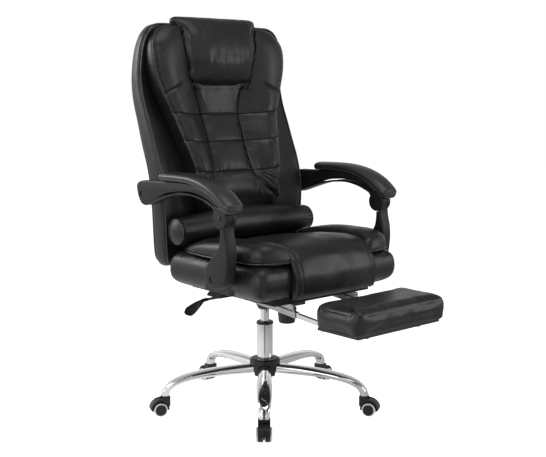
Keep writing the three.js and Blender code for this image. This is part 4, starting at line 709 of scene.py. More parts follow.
def shell_cover():
    """The upholstered shell, with room cut out for the hinge at its foot."""
    size = [BACK_HALF, SHELL_DEPTH]
    wall = smooth_line(np.array(SHELL_WALL) * size, 46) / size
    face_out = np.concatenate([np.linspace(0.955, 0.6, 16), np.linspace(0.5, 0, 6)])
    flip = np.array([-1, 1])
    rings = []
    for share in ease_ends(120):
        z = BACK_FOOT + (BACK_HEAD - BACK_FOOT) * share
        half, deep = BACK_HALF * shell_width(share), SHELL_DEPTH * shell_thick(share)
        right = np.stack([half * wall[:, 0], rim_y(z) + deep * wall[:, 1]], axis=1)
        face = np.stack([half * face_out, shell_front(half * face_out, z)], axis=1)
        ring = np.vstack([right, (right[:-1] * flip)[::-1], face * flip, face[:-1][::-1]])
        rings.append(spots_at(*ring.T, z))
    rings = np.array(rings)
    ripple = wander(rings, 70, 1) * 1.1 + wander(rings, 26, 2) * 0.35
    outward = np.zeros_like(rings)
    outward[..., 0] = np.sign(rings[..., 0]) * smoothstep(np.abs(rings[..., 0]), 200, 280)
    outward[..., 1] = smoothstep(rings[..., 1] - rim_y(rings[..., 2]), 30, 80)
    shell = loft("back_cover", rings + outward * ripple[..., None])
    room = [(100, 449), (215, 449), (228, 493), (234, 499), (234.5, 506), (233, 521), (100, 521)]
    for low, high in ((121.5, 142.5), (-142.5, -121.5)):
        cut_away(shell, loft("hinge_room", [[(x, y, z) for y, z in room] for x in (low, high)]))
    return shade(shell, 60)


def shell_line(out, deep, high):
    """A line up one side of the shell, over its top and down the other."""
    shares = 0.02 + (high - 0.02) * ease_ends(260)
    z = BACK_FOOT + (BACK_HEAD - BACK_FOOT) * shares
    y = rim_y(z) + SHELL_DEPTH * shell_thick(shares) * deep
    side = spots_at(BACK_HALF * shell_width(shares) * out, y, z)
    top = side[-1]
    over = spots_at(np.linspace(top[0], -top[0], 40)[1:-1], top[1] + 0.6, top[2] + 1.5)
    return resample(np.vstack([side, over, (side * [-1, 1, 1])[::-1]]), 520)


# Back pad

PAD_FOOT, PAD_HEAD, PAD_HALF, PAD_CREST = 528.0, 1184.0, 265.0, 10.0
QUILT_ROWS = (732.0, 826.0, 911.0)
pad_width, pad_edge, pad_middle = (
    curve_of(shares)
    for shares in (
        [0.49, 0.517, 0.558, 0.596, 0.626, 0.66, 0.7, 0.747, 0.789, 0.853, 0.92, 0.977, 1, 0.995, 0.98],
        [0.12, 0.11, -0.1, -0.22, -0.14, -0.06, 0.08, 0.24, 0.4, 0.51, 0.59, 0.64, 0.68, 0.76, 0.93],
        [-0.01, -0.015, -0.03, -0.06, 0.07, 0.18, 0.33, 0.49, 0.66, 0.73, 0.76, 0.76, 0.77, 0.82, 0.98],
    )
)
seam_across = smooth_table(
    [600, 636, 680, 732, 780, 826, 870, 911, 950, 1000], [172, 152, 104, 79, 74, 73, 73, 76, 84, 98]
)


def pad_half(z):
    z = np.asarray(z, float)
    corner = np.clip((z - PAD_HEAD + 78) / 78, 0, 1)
    return PAD_HALF * pad_width((z - PAD_FOOT) / (PAD_HEAD - PAD_FOOT)) - 66 * bend(corner, 0.99)


def pad_side(x, z):
    """How far out a place lies, from 0 at the pad's middle to 1 at its edge."""
    return np.minimum(np.abs(x) / pad_half(z), 1)


def row_height(row, side):
    """A cross seam's height, which rises a little over the side rolls."""
    return row + 9 * smoothstep(side, 0.35, 1.0) * side


def pad_seams(x, z):
    """Distances to the nearest cross seam and to the nearest upright seam."""
    side = pad_side(x, z)
    across = np.min([np.abs(z - row_height(row, side)) for row in QUILT_ROWS], axis=0)
    upright = np.abs(np.abs(x) - seam_across(z)) + 60 * (1 - smoothstep(z, 615, 665))
    return across, upright + 60 * smoothstep(z, 985, 1010)


def pad_front(x, z):
    """The pad's face: its lean, the quilting's channels, the crowned cells and the side rolls."""
    x, z = np.asarray(x, float), np.asarray(z, float)
    t = (z - PAD_FOOT) / (PAD_HEAD - PAD_FOOT)
    side = pad_side(x, z)
    to_edge = smoothstep(side, 0.35, 0.85)
    lean = pad_middle(t) * (1 - to_edge) + pad_edge(t) * to_edge
    y = RIM_DATUM + RIM_SWEEP * lean - PAD_CREST * to_edge
    across, upright = pad_seams(x, z)
    soft = (4.2 * np.exp(-across / 7) + 1.3 * groove(across, 2.2)) * (1 - 0.2 * to_edge)
    inner = seam_across(z)
    wide = np.where(np.abs(x) > inner, 22, 11)
    soft_up = 8.0 * np.exp(-upright / wide) + 1.5 * groove(upright, 2.4)
    soft_up = soft_up * (0.45 + 0.55 * smoothstep(z, 690, 740))
    y = y + (soft**3 + soft_up**3) ** (1 / 3)
    roll = np.clip((np.abs(x) - inner) / np.maximum(pad_half(z) - inner, 30), 0, 1)
    y = y - 10 * 4 * roll * (1 - roll) * smoothstep(z, 600, 680)
    y = y - 5.0 * (1 - np.minimum(np.abs(x) / inner, 1) ** 2) * smoothstep(z, 640, 700)
    y = y - 2.5 * groove(np.abs(x) - (inner - 16), 9) * smoothstep(z, 935, 985)
    rim = np.clip((side - 0.9) / 0.1, 0, 1)
    y = y + 13 * (1 - np.sqrt(np.maximum(1 - rim**2.2, 0)))
    foot = np.clip((PAD_FOOT + 16 - z) / 16, 0, 1)
    head = np.clip((z - PAD_HEAD + 16) / 16, 0, 1)
    return y + 9 * bend(foot, 0.98) + 7 * bend(head, 0.98)


def shoulder_height(x):
    """The crease over each shoulder, from the pillow's foot out and down to the pad's edge."""
    return 1006 - 0.42 * (np.abs(x) - 172) - 0.0012 * (np.abs(x) - 172) ** 2


def pleats(x, z, row, reach, spread, height):
    """Gathers that fan out and down from where an upright seam meets a cross seam."""
    out = np.abs(x) - float(seam_across(row)) + 8
    down = row + 2 - z
    away = np.hypot(out, down)
    ripple = np.sin(np.arctan2(down, np.maximum(out, 0.1)) * 25 + 1.5 * np.sin(away / 17))
    return height * ripple * groove(away - reach, spread) * smoothstep(out, 0, 8) * smoothstep(down, 2, 14)


def pad_wrinkles(x, z):
    """Small puckers along the seams and long soft folds between them, towards the front."""
    across, upright = pad_seams(x, z)
    spots = spots_at(x, 0, z)
    near_row = np.exp(-across / 16) * (1 - groove(across, 2.0))
    near_up = np.exp(-upright / 16) * (1 - groove(upright, 2.0))
    pucker = near_row * wander(spots * [1, 1, 0.18], 9, 3) * 1.7
    pucker += near_up * wander(spots * [0.18, 1, 1], 9, 4) * 1.5
    pucker += smoothstep(pad_side(x, z), 0.72, 0.97) * wander(spots * [0.25, 1, 1], 10, 5) * 1.5
    folds = wander(spots * [0.55, 1, 1], 48, 6) * 1.6 + wander(spots, 120, 7) * 1.5
    shoulder = groove(z - shoulder_height(x), 6) * smoothstep(np.abs(x), 150, 175)
    shoulder *= 1 - smoothstep(np.abs(x), 232, 248)
    fans = pleats(x, z, 732, 48, 30, 2.4) + pleats(x, z, 826, 26, 17, 1.3)
    return pucker + folds + shoulder * -4.5 + fans


def on_pad(x, z, lift):
    return spots_at(x, pad_front(x, z) - pad_wrinkles(x, z) - lift, z)


def pad_cover():
    """The quilted pad: its face, its stitched side walls and its flat rear."""
    tall = PAD_HEAD - PAD_FOOT
    heights = [*np.linspace(0, tall, 250), 2, 5, tall - 5, tall - 2]
    share = np.linspace(-1, 1, 259)
    share = np.sign(share) * (1 - (1 - np.abs(share)) ** 1.12)
    rings = []
    for z in PAD_FOOT + np.sort(heights):
        half = float(pad_half(z))
        x = share * half
        face = on_pad(x, np.full(len(x), z), 0)
        edge = face[-1, 1]
        side_y = np.linspace(edge, max(float(shell_front(half, z)) - 0.6, edge + 3), 9)[1:]
        bulge = np.sin(np.linspace(0, np.pi, 9)[1:]) * 1.5
        beads = 0.5 * np.sin(z / 5.2 * 2 * np.pi) * groove(side_y - edge - 5, 3)
        right = spots_at(half + bulge + beads, side_y, z)
        rear_x = np.linspace(half, -half, 24)[1:-1]
        rear = spots_at(rear_x, np.maximum(shell_front(rear_x, np.full(22, z)) - 0.6, edge + 3), z)
        rings.append(np.vstack([face, right, rear, (right * [-1, 1, 1])[::-1]]))
    return loft("back_pad_cover", rings)


# Head pillow

PILLOW_FOOT, PILLOW_HEAD, PILLOW_HALF, PILLOW_FRONT, PILLOW_DEPTH = 989.0, 1214.0, 156.0, 180.0, 82.0
PILLOW_TUCK, PILLOW_WRAP = 1189.0, 280.0
PILLOW_HEIGHTS = [0, 0.03, 0.07, 0.15, 0.27, 0.41, 0.54, 0.68, 0.8, 0.89, 0.96, 1]
pillow_width = smooth_table(
    PILLOW_HEIGHTS, [0.73, 0.785, 0.81, 0.83, 0.86, 0.91, 0.955, 0.985, 1, 1.055, 1.07, 1]
)
pillow_lean = smooth_table(
    PILLOW_HEIGHTS, [0.74, 0.54, 0.4, 0.19, 0.05, -0.02, 0.02, 0.13, 0.28, 0.44, 0.6, 0.82]
)
pillow_edge = smooth_table([0, 0.35, 0.62, 0.82, 0.94, 1], [0, 0.02, 0.08, 0.2, 0.36, 0.6])


def pillow_face(x, z):
    t = (z - PILLOW_FOOT) / (PILLOW_HEAD - PILLOW_FOOT)
    front = PILLOW_FRONT + PILLOW_DEPTH * pillow_lean(t)
    bed = PILLOW_FRONT + PILLOW_DEPTH
    side = np.minimum(np.abs(x) / (PILLOW_HALF * pillow_width(t)), 1)
    return front + (bed - front) * pillow_edge(side) * (0.4 + 0.6 * smoothstep(t, 0.03, 0.35))


def pillow_bed(x, z):
    """What the pillow lies on: the shell, and the pad below its top."""
    bed = np.minimum(PILLOW_FRONT + PILLOW_DEPTH, shell_front(x, np.minimum(z, BACK_HEAD)) - 0.8)
    return np.where(z < PAD_HEAD, np.minimum(bed, pad_front(x, np.minimum(z, PAD_HEAD)) - 0.8), bed)


def pillow_folds(spots):
    """Upright puckers across the pillow's middle and slanting ones at its upper corners."""
    x, y, z = spots.T
    t = np.clip((z - PILLOW_FOOT) / (PILLOW_HEAD - PILLOW_FOOT), 0, 1)
    side = np.minimum(np.abs(x) / (PILLOW_HALF * pillow_width(t)), 1)
    band = groove(t - 0.43, 0.15)
    puckers = wander(spots * [1, 0, 0.32], 19, 11) * (0.5 + 1.9 * band) * (1 - smoothstep(side, 0.85, 1))
    feet = wander(spots * [1, 0, 0.2], 12, 13) * (1 - smoothstep(t, 0.05, 0.3)) * 1.2
    slant = wander(spots_at(x * 0.9 + z * 0.7, 0, (x - z) * 0.25), 22, 14)
    slant = slant * 2.4 * smoothstep(side, 0.45, 0.8) * groove(t - 0.72, 0.16)
    seam = 3.0 * groove((1 - side) * PILLOW_HALF - 5, 3.0) * (y < PILLOW_FRONT + 66)
    facing = smoothstep(PILLOW_FRONT + PILLOW_DEPTH - 6 - y, 0, 16)
    return (puckers + feet + slant + wander(spots, 70, 12) * 1.5) * facing - seam


def pillow_hold(spots):
    """Keeps the pillow in front of the pad and over the back's top edge."""
    spots = spots.copy()
    x, z = spots[:, 0], spots[:, 2]
    spots[:, 1] = np.where(z < PILLOW_TUCK, np.minimum(spots[:, 1], pillow_bed(x, z)), spots[:, 1])
    behind = spots[:, 1] > PILLOW_FRONT + PILLOW_DEPTH - 12
    spots[:, 2] = np.where(behind & (z > PILLOW_TUCK - 14), np.maximum(z, PILLOW_TUCK), spots[:, 2])
    return spots


def pillow_cover():
    """The pillow, whose upper part wraps over the top of the back."""
    rings = []
    for share in ease_ends(96):
        z = PILLOW_FOOT + (PILLOW_HEAD - PILLOW_FOOT) * share
        half = PILLOW_HALF * float(pillow_width(share))
        x = np.sin(np.linspace(-np.pi / 2, np.pi / 2, 89)) * half
        y = pillow_face(x, np.full(len(x), z))
        rear_x = np.linspace(half, -half, 30)
        rear = pillow_bed(rear_x, np.full(30, z))
        if z >= PILLOW_TUCK:
            corner = np.clip((np.abs(rear_x) / half - 0.8) / 0.2, 0, 1)
            over = math.sqrt(max(1 - ((z - PILLOW_TUCK) / (PILLOW_HEAD - PILLOW_TUCK)) ** 2, 0))
            rear = 249 + (PILLOW_WRAP - 249 - 14 * bend(corner)) * over
        rear = np.maximum(rear, np.interp(rear_x, x, y) + 1.0)
        rings.append(np.vstack([spots_at(x, y, z), spots_at(rear_x, rear, z)]))
    return crease(swell(loft("head_pillow_cover", rings), 4.5, 4, pillow_hold), pillow_folds, pillow_hold)


def pillow_gap_shadow(pillow, side):
    """The line for a near-black cord along the pillow's side seam, laid on the finished cover: painted shadow
    of the gap there.
    """
    z = PILLOW_FOOT + 6 + (PILLOW_HEAD - PILLOW_FOOT - 10) * np.linspace(0, 1, 120)
    x = side * (PILLOW_HALF * pillow_width((z - PILLOW_FOOT) / (PILLOW_HEAD - PILLOW_FOOT)) - 4)
    return smooth_line(laid_on(pillow, spots_at(x, pillow_face(x, z), z), -0.2)[::14], 120)


# Lumbar roll

ROLL_AT, ROLL_RADIUS, ROLL_HALF = np.array([-6.0, 92.0, 568.0]), 43.0, 267.0


def roll_cap(ring, side):
    """Rings that close a domed end of the roll."""
    middle = ring.mean(axis=0)
    return [middle + (ring - middle) * s + [side * 9.0 * (1 - s**2), 0, 0] for s in (0.96, 0.8, 0.5, 0.2)]


def roll_cover():
    """A stuffed roll, fuller in the middle, with gathers and a sunk seam at each end."""
    ends, body = np.linspace(-1, -0.93, 16), np.linspace(-0.925, 0.925, 110)
    cos, sin = np.cos(turn_angles(72)), np.sin(turn_angles(72))
    rings = []
    for place in [*ends, *body, *np.linspace(0.93, 1, 16)]:
        along = place * ROLL_HALF
        from_end = ROLL_HALF - abs(along)
        full = 1 - place * place
        radius = ROLL_RADIUS * (0.92 + 0.19 * (1 - abs(place) ** 2.2)) - 1.8 * groove(from_end - 6.0, 1.8)
        if from_end < 4:
            radius = ROLL_RADIUS * 0.93 * math.sqrt(max(1 - ((4 - from_end) / 4) ** 2 * 0.25, 0))
        gather = 1.1 * math.exp(-max(from_end - 6, 0) / 22) * (1 - groove(from_end, 4))
        spots = spots_at(along, cos * ROLL_RADIUS, sin * ROLL_RADIUS)
        ripple = wander(spots_at(along * 0.12, *spots.T[1:]), 8, 21) * gather * 3.2
        ripple = ripple + wander(spots, 60, 22) * 0.9 + wander(spots * [0.3, 1, 1], 22, 23) * 0.5
        reach = radius + ripple - 0.8
        y = ROLL_AT[1] - 1.5 * full + cos * reach
        z = ROLL_AT[2] + 6.5 * full + sin * reach * (1 + 0.11 * full)
        rings.append(spots_at(ROLL_AT[0] + along, y, z))
    return loft("lumbar_roll_cover", roll_cap(rings[0], -1)[::-1] + rings + roll_cap(rings[-1], 1))


def roll_circle(x, radius):
    """A circle round the roll's own axis."""
    cos, sin = np.cos(turn_angles(90)), np.sin(turn_angles(90))
    return spots_at(ROLL_AT[0] + x, ROLL_AT[1] + cos * radius, ROLL_AT[2] + sin * radius)


# Seat

CUSHION_HALF, CUSHION_FRONT, CUSHION_REAR = 283.0, -308.0, 132.0
CUSHION_BOTTOM, CUSHION_TOP = 406.3, 509.0
CUSHION_PROFILE = [
    [95, 406.3], [60, 407.5], [36, 410.5], [20, 415], [9, 422], [3, 432], [0, 446], [0, 458], [1, 471],
    [4, 483], [9.5, 493], [18, 500.5], [31, 506], [50, 508.6], [72, 509],
]
PANEL_HALF, PANEL_FRONT, PANEL_THICK, PANEL_HEM, PANEL_REAR = 159.0, -324.0, 26.0, 407.0, 126.0
BED = 509.3


def rounded_ring(front, rear, half, corner, draw_in, corner_steps=9, side_steps=26, front_corner=None):
    """A rounded rectangle whose sides are drawn in at their middles, as [x, y] points."""
    middle, half_depth = (front + rear) / 2, (rear - front) / 2
    front_corner = corner if front_corner is None else front_corner
    quarters = ((1, 1, corner), (-1, 1, corner), (-1, -1, front_corner), (1, -1, front_corner))

    def spot(quarter, angle):
        sx, sy, radius = quarters[quarter % 4]
        x = sx * (half - radius) + radius * math.cos(angle)
        return x, sy * (half_depth - radius) + radius * math.sin(angle)

    ring = []
    for quarter in range(4):
        ring += [spot(quarter, math.pi / 2 * (quarter + i / corner_steps)) for i in range(corner_steps + 1)]
        angle = math.pi / 2 * (quarter + 1)
        (x0, y0), (x1, y1) = ring[-1], spot(quarter + 1, angle)
        for i in range(1, side_steps):
            t = i / side_steps
            pull = draw_in * math.sin(math.pi * t)
            x = x0 + (x1 - x0) * t - pull * math.cos(angle)
            ring.append((x, y0 + (y1 - y0) * t - pull * math.sin(angle)))
    return np.array([(x, middle + y) for x, y in ring])


def cushion_hold(spots):
    """Keeps the cushion on its board, under the topper, behind the front fall and off the posts."""
    x, y, z = spots.T.copy()
    z = np.clip(z, CUSHION_BOTTOM, CUSHION_TOP)
    y = np.where((np.abs(x) < 160.4) & (y < -200), np.maximum(y, -296.6), y)
    x = np.where((y > -215) & (y < -60), np.clip(x, -290.5, 290.5), x)
    over_ear = (y > -172) & (y < -60) & (np.abs(x) > 262) & (z < 486) & (z > 410)
    x = np.where(over_ear, np.sign(x) * np.maximum(np.abs(x), 279.5), x)
    return spots_at(x, y, z)


def cushion_folds(spots):
    x, y, z = spots.T
    top_edge = np.exp(-np.abs(z - 494) / 13)
    pulled = wander(spots * [1, 1, 0.3], 15, 32) * 1.5 * top_edge
    pulled = pulled + wander(spots * [1, 1, 0.35], 17, 33) * np.exp(-np.abs(z - 416) / 12)
    corner = np.exp(-np.hypot(np.abs(x) - 235, y + 262) / 70)
    return wander(spots, 75, 31) * 0.9 + pulled + corner * top_edge * wander(spots * [1, 1, 0.5], 9, 34) * 1.2


def cushion_cover():
    rings = []
    for inset, z in smooth_line(CUSHION_PROFILE, 44):
        ring = rounded_ring(
            CUSHION_FRONT + inset, CUSHION_REAR + 2 - inset, CUSHION_HALF + 3 - inset,
            max(30 - inset * 0.4, 10), 1, 12, 30, max(31 - inset * 0.4, 12),
        )
        rings.append(spots_at(*ring.T, z))
    return crease(swell(loft("seat_cushion_cover", rings), 6, 6, cushion_hold), cushion_folds, cushion_hold)


def panel_face(count):
    """The panel's section as [y, z] points, with its outward normals."""
    fall, lift, corner, drop = PANEL_FRONT, PANEL_THICK, 28.0, BED - PANEL_HEM
    points = [
        (PANEL_REAR, BED + lift * 0.38), (PANEL_REAR - lift * 2, BED + lift * 0.4), (0, BED + lift * 0.95),
        (-corner * 4.3, BED + lift * 1.55), (fall + corner * 3.8, BED + lift * 1.78),
        (fall + corner * 2.1, BED + lift * 1.45), (fall + corner, BED + lift * 0.62),
        (fall + corner * 0.36, BED - drop * 0.1), (fall + lift * 0.04, BED - drop * 0.32),
        (fall, BED - drop * 0.6), (fall + lift * 0.12, BED - drop * 0.88), (fall + lift * 0.35, BED - drop),
    ]
    face = smooth_line(points, count)
    tangent = np.gradient(face, axis=0)
    tangent /= np.linalg.norm(tangent, axis=1)[:, None]
    normal = np.stack([-tangent[:, 1], tangent[:, 0]], axis=1)
    normal *= np.where(normal[:, 1:] < -0.2, -1, 1)
    return face, np.where((normal[:, :1] > 0.2) & (face[:, 1:] < 540), -normal, normal)


def panel_edge(away):
    """How far the panel's face rounds off at a distance from its side edge."""
    return 9.5 * (1 - math.sqrt(max(1 - max(1 - away / 13, 0) ** 2, 0)))


def panel_cover():
    """The centre panel, which falls over the front edge."""
    face, normal = panel_face(120)
    inner = PANEL_FRONT + PANEL_THICK
    under = [(inner - 2.6, PANEL_HEM), (inner, 460.0), *((y, BED) for y in (inner, -84.0, 0.0, PANEL_REAR))]
    under = resample(np.array(under), 50)
    y, z = face.T
    rings = []
    for share in np.sin(np.linspace(-np.pi / 2, np.pi / 2, 75)):
        x = share * PANEL_HALF
        away = PANEL_HALF - abs(x)
        level = spots_at(x, y, z)
        soft = wander(level * [1, 0.35, 0.35], 15, 42) * math.exp(-away / 26)
        soft = wander(level, 62, 41) * 2.2 + soft
        deck = 2.4 * groove(y - 26, 2.6) + 2.0 * groove(y - 78, 2.6)
        tuck = wander(level * [1, 0.4, 1], 13, 43) * 1.2 * np.exp(-np.abs(y - 26) / 14)
        move = 7 * (1 - share * share) * smoothstep(z, 480, 540) - panel_edge(away)
        move = move - 2.2 * groove(away - 20, 2.6) + soft + tuck - deck
        shaped = face + normal * move[:, None]
        shaped[:, 0] += (1 - smoothstep(z, PANEL_HEM, PANEL_HEM + 12)) * 2.5
        rings.append(spots_at(x, *np.vstack([shaped, under]).T))
    return loft("seat_panel_cover", rings)


def panel_line(side, inset):
    face, normal = panel_face(150)
    return spots_at(side * (PANEL_HALF - inset), *(face - normal * panel_edge(inset)).T)


wing_along = curve_of([0.95, 0.836, 0.745, 0.609, 0.473, 0.336, 0.211, 0.11, 0.045, 0.012])
wing_out = curve_of([0.69, 0.76, 0.8, 0.818, 0.822, 0.816, 0.79, 0.75, 0.7, 0.64])
wing_width = curve_of([0.8, 0.95, 1, 1, 1, 1, 1.02, 1.02, 0.9, 0.45])
wing_crest = curve_of([0.15, 0.36, 0.56, 0.76, 0.86, 0.9, 0.92, 0.88, 0.7, 0.3])


def wing_section(t, side):
    """A wing's middle, its place along the seat and its half width."""
    y = CUSHION_FRONT + 440 * wing_along(t) + 11 * smoothstep(t, 0.55, 0.95) * (side == RIGHT)
    return CUSHION_HALF * wing_out(t) - 6, y, CUSHION_HALF * 0.178 * wing_width(t)


def wing_cover(name, side):
    rise = 67.6 * (0.95 if side == LEFT else 1.0)
    cos, sin = np.cos(turn_angles(64)), np.sin(turn_angles(64))
    upper = smoothstep(sin, 0.0, 0.5)
    rings = []
    for t in [*np.linspace(0, 0.06, 6), *np.linspace(0.075, 0.94, 84), *np.linspace(0.95, 1, 10)]:
        middle, y, half = wing_section(t, side)
        high = rise * float(wing_crest(t))
        x = side * middle + half * power(cos, 2.25)
        z = BED + high * 0.35 + high * 0.65 * power(sin, 2.25)
        spots = spots_at(x, y, z)
        soft = wander(spots, 60, 51 + side) * 1.3
        nose = wander(spots * [1, 0.2, 0.6], 9, 53 + side) * 1.5 * math.exp(-(y + 304) / 30)
        welt = wander(spots * [0.3, 1, 0.3], 11, 55) * 1.6 * np.exp(-np.abs(sin) / 0.25)
        move = (soft + nose) * upper + welt
        rings.append(spots_at(x + move * cos, y, np.maximum(z + move * np.abs(sin), BED + 0.1)))
    return loft(name, rings)


def wing_welt(name, side):
    """The sewn edge along a wing's foot."""
    middle, y, half = wing_section(np.linspace(0.02, 1, 110), side)
    outer = spots_at(side * (middle + half + 0.5), y, BED + 4.5)
    inner = spots_at(side * (middle - half - 0.5), y, BED + 4.5)
    nose = outer[-1] * 0.5 + inner[-1] * 0.5 + [0, -5, 0]
    return sweep(name, resample(np.vstack([outer, [nose], inner[::-1]]), 220), 2.3, 8)


def bed_cover():
    """The topper's thin bed between the wings and the panel."""
    ring = rounded_ring(-252.0, PANEL_REAR - 1, 227.0, 26.0, 3)
    middle = np.array([0, -63.0])
    levels = ((0.97, 0.2), (1.0, 2), (1.0, 6), (0.985, 9), (0.95, 10.2), (0.6, 10.6), (0.2, 10.8))
    rings = [spots_at(*(middle + (ring - middle) * share).T, BED + rise) for share, rise in levels]
    return loft("seat_bed_cover", rings)


# Armrests

KNUCKLE, REAR_BOLT, POST_FOOT = np.array([-192.0, 641.0]), np.array([183.0, 681.0]), np.array([-155.0, 466.0])
ARM_X, ARM_HALF = 312.0, 19.0
ARM_LINE = [
    (268, 84), (232, 85), (192, 86), (132, 84), (82, 75.5), (42, 62), (7, 43), (-21, 22), (-40, 9.5),
    (-52, 7),
]
FRAME_REAR = [(402, 60), (399, 68), (388, 75), (362, 80), (322, 81)]
FRAME_UNDER = [
    (24, 10), (31, 23), (55, 34), (87, 44), (129, 51), (171, 52), (214, 46), (259, 35), (323, 15), (350, 6.5),
    (364, 5), (380, 11), (395, 32), (402, 58),
]
FRAME_SLIT = [(291, 34), (245, 48), (179, 57), (128, 59), (87, 53), (46, 42), (22, 31)]
POST_LINE = [
    (-20, -6), (-21, -32), (-24, -49), (-30, -72), (-33, -106), (-30, -141), (-24, -169), (-16, -186),
    (2, -196), (32, -201), (52, -194), (61, -175), (64, -154), (60, -139), (42, -119), (19, -95), (5, -76),
    (0, -51), (-1, -30), (-1, -6),
]
PIN_RADIUS, TONGUE_HALF = 5.3, 5.7


def from_knuckle(points, count):
    return smooth_line(np.array(points) + KNUCKLE, count)


def across_arm(name, profile, at, facets, side=LEFT, angle=35):
    """A form turned about a pivot of an armrest."""
    return turned(name, profile, (side, 0, 0), (side * ARM_X, *at), facets, angle)


def bore(at):
    return across_arm("bore", rod(PIN_RADIUS, -40, 40), at, 32)


def recess(at):
    return across_arm("recess", rod(8.6, 12, 40), at, 48)


def arm_pad_cover(name):
    """The padded top of the armrest, rounder above than below."""
    thick = curve_of([1, 1, 1, 1.02, 1.06, 1.12, 1.2, 1.28, 1.3, 1.22])
    wide = curve_of([0.95, 1, 1, 1, 1, 1.01, 1.02, 1.02, 1, 0.94])
    line = from_knuckle(ARM_LINE, 90)
    tangent = np.gradient(line, axis=0)
    tangent /= np.linalg.norm(tangent, axis=1)[:, None]
    angles = 2 * np.pi * np.arange(56) / 56
    cos, sin = np.cos(angles), np.sin(angles)
    exponent = np.where(sin > 0, 2.25, 3.4)
    nose_places = 0.85 + 0.15 * np.sin(np.linspace(0, np.pi / 2, 22))
    rings = []
    for t in [*np.linspace(0, 0.03, 8), *np.linspace(0.04, 0.84, 60), *nose_places]:
        place = t * (len(line) - 1)
        y, z, *ahead = (np.interp(place, np.arange(len(line)), column) for column in (*line.T, *tangent.T))
        up = np.array([-ahead[1], ahead[0]])
        up *= 1 if up[1] > 0 else -1
        rear = math.sqrt(max(1 - max(1 - t / 0.018, 0) ** 2, 0.0))
        nose = math.sqrt(max(1 - max((t - 0.89) / 0.11, 0) ** 2, 0.0))
        deep = float(thick(t))
        half_depth = 13.2 * deep * (0.8 + 0.2 * rear) * (0.25 + 0.75 * nose)
        half_width = 34 * float(wide(t)) * (0.9 + 0.1 * rear) * (0.12 + 0.88 * nose)
        centre = np.array([y, z]) + up * (12.9 * deep + 0.4)
        out = half_width * power(cos, exponent)
        rise = np.maximum(half_depth * power(sin, exponent), -12.6 * deep)
        rings.append(spots_at(ARM_X + out, centre[0] + up[0] * rise, centre[1] + up[1] * rise))
    return loft(name, rings)


def arm_frame(name):
    """The moulded arm with its long slit, and the slotted disc at its knuckle."""
    top = [p - [0, 0.5] for p in from_knuckle(ARM_LINE, 70) if p[0] > KNUCKLE[0] + 10]
    rear, under = from_knuckle(FRAME_REAR, 18), from_knuckle(FRAME_UNDER, 90)
    outline = np.vstack([rear, top, [KNUCKLE + [4, 30]], under])
    slit = from_knuckle(FRAME_SLIT, 60)
    gap = 2.3 * curve_of([0.3, 0.85, 1, 1, 1, 0.8, 0.3])(np.linspace(0, 1, 60))
    gap = np.stack([0 * gap, gap], axis=1)
    beam = plate("beam", outline, ARM_HALF, 5.0, [np.vstack([slit + gap, (slit - gap)[::-1]])], ARM_X)
    disc = across_arm("disc", rounded(rod(30, -ARM_HALF, ARM_HALF), 3.5), KNUCKLE, 72)
    slots = [across_arm("slot", rod(32.4, -6, 6), KNUCKLE, 72) for _ in SIDES]
    cut_away(disc, bore(KNUCKLE), slots[0])
    cut_away(beam, slots[1], recess(REAR_BOLT), bore(REAR_BOLT))
    return merge(name, [beam, disc], 35)


def arm_post(name):
    """The post, with room beside its tongue for the frame's slotted disc."""
    post = plate(name, from_knuckle(POST_LINE, 150), ARM_HALF, 5.0, (), ARM_X)
    for low, high in ((TONGUE_HALF, 40), (-40, -TONGUE_HALF)):
        cut_away(post, across_arm("cheek", rod(31.2, low, high), KNUCKLE, 72))
    return shade(cut_away(post, recess(POST_FOOT), bore(POST_FOOT), bore(KNUCKLE)), 35)


# Base, column and castors

HEADINGS = [math.radians(-41.3 + 72 * i) for i in range(5)]
STEM_CIRCLE, ROOT_Z, LEG_END, TRAIL = 320.0, 122.0, 61.0, 19
AXLE_Z = 21 * math.cos(math.pi / 14)
ACROSS = (1, 0, 0)


def leg_form():
    """One leg along +X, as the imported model's but smooth."""
    width = curve_of([0.74, 0.8, 0.88, 0.96, 1, 1, 0.98, 0.92, 0.82, 0.72, 0.66])
    depth = curve_of([1, 1, 0.96, 0.9, 0.83, 0.76, 0.71, 0.69, 0.7, 0.76, 0.84])
    places = [(30.6, ROOT_Z), (STEM_CIRCLE * 0.52, ROOT_Z), (STEM_CIRCLE, ROOT_Z), (STEM_CIRCLE, LEG_END)]
    corners = np.array(places)
    rings = []
    for t in np.linspace(0, 1, 72):
        x, z = np.array([(1 - t) ** 3, 3 * t * (1 - t) ** 2, 3 * t * t * (1 - t), t**3]) @ corners
        pace = np.array([(1 - t) ** 2, 2 * t * (1 - t), t * t]) @ np.diff(corners, axis=0)
        pace /= np.linalg.norm(pace)
        up = (-pace[1], 0, pace[0])
        half_width, half_depth = 23 * float(width(t)), 14.5 * float(depth(t))
        rings.append(squarish_ring((x, 0, z), (0, 1, 0), up, half_width, half_depth, 2.6, 56))
    socket = turned("leg_socket", rod(5.8, 50, 78.3), place=(STEM_CIRCLE, 0, 0), facets=32)
    return shade(cut_away(loft("leg_form", rings, 60), socket), 50)


def squarish_ring(centre, across, up, half_width, half_height, exponent, sides):
    """A ring between an ellipse and a rectangle, round a centre."""
    angles = 2 * np.pi * np.arange(sides) / sides
    out = half_width * power(np.cos(angles), exponent)
    rise = half_height * power(np.sin(angles), exponent)
    return np.asarray(centre) + out[:, None] * np.asarray(across) + rise[:, None] * np.asarray(up)


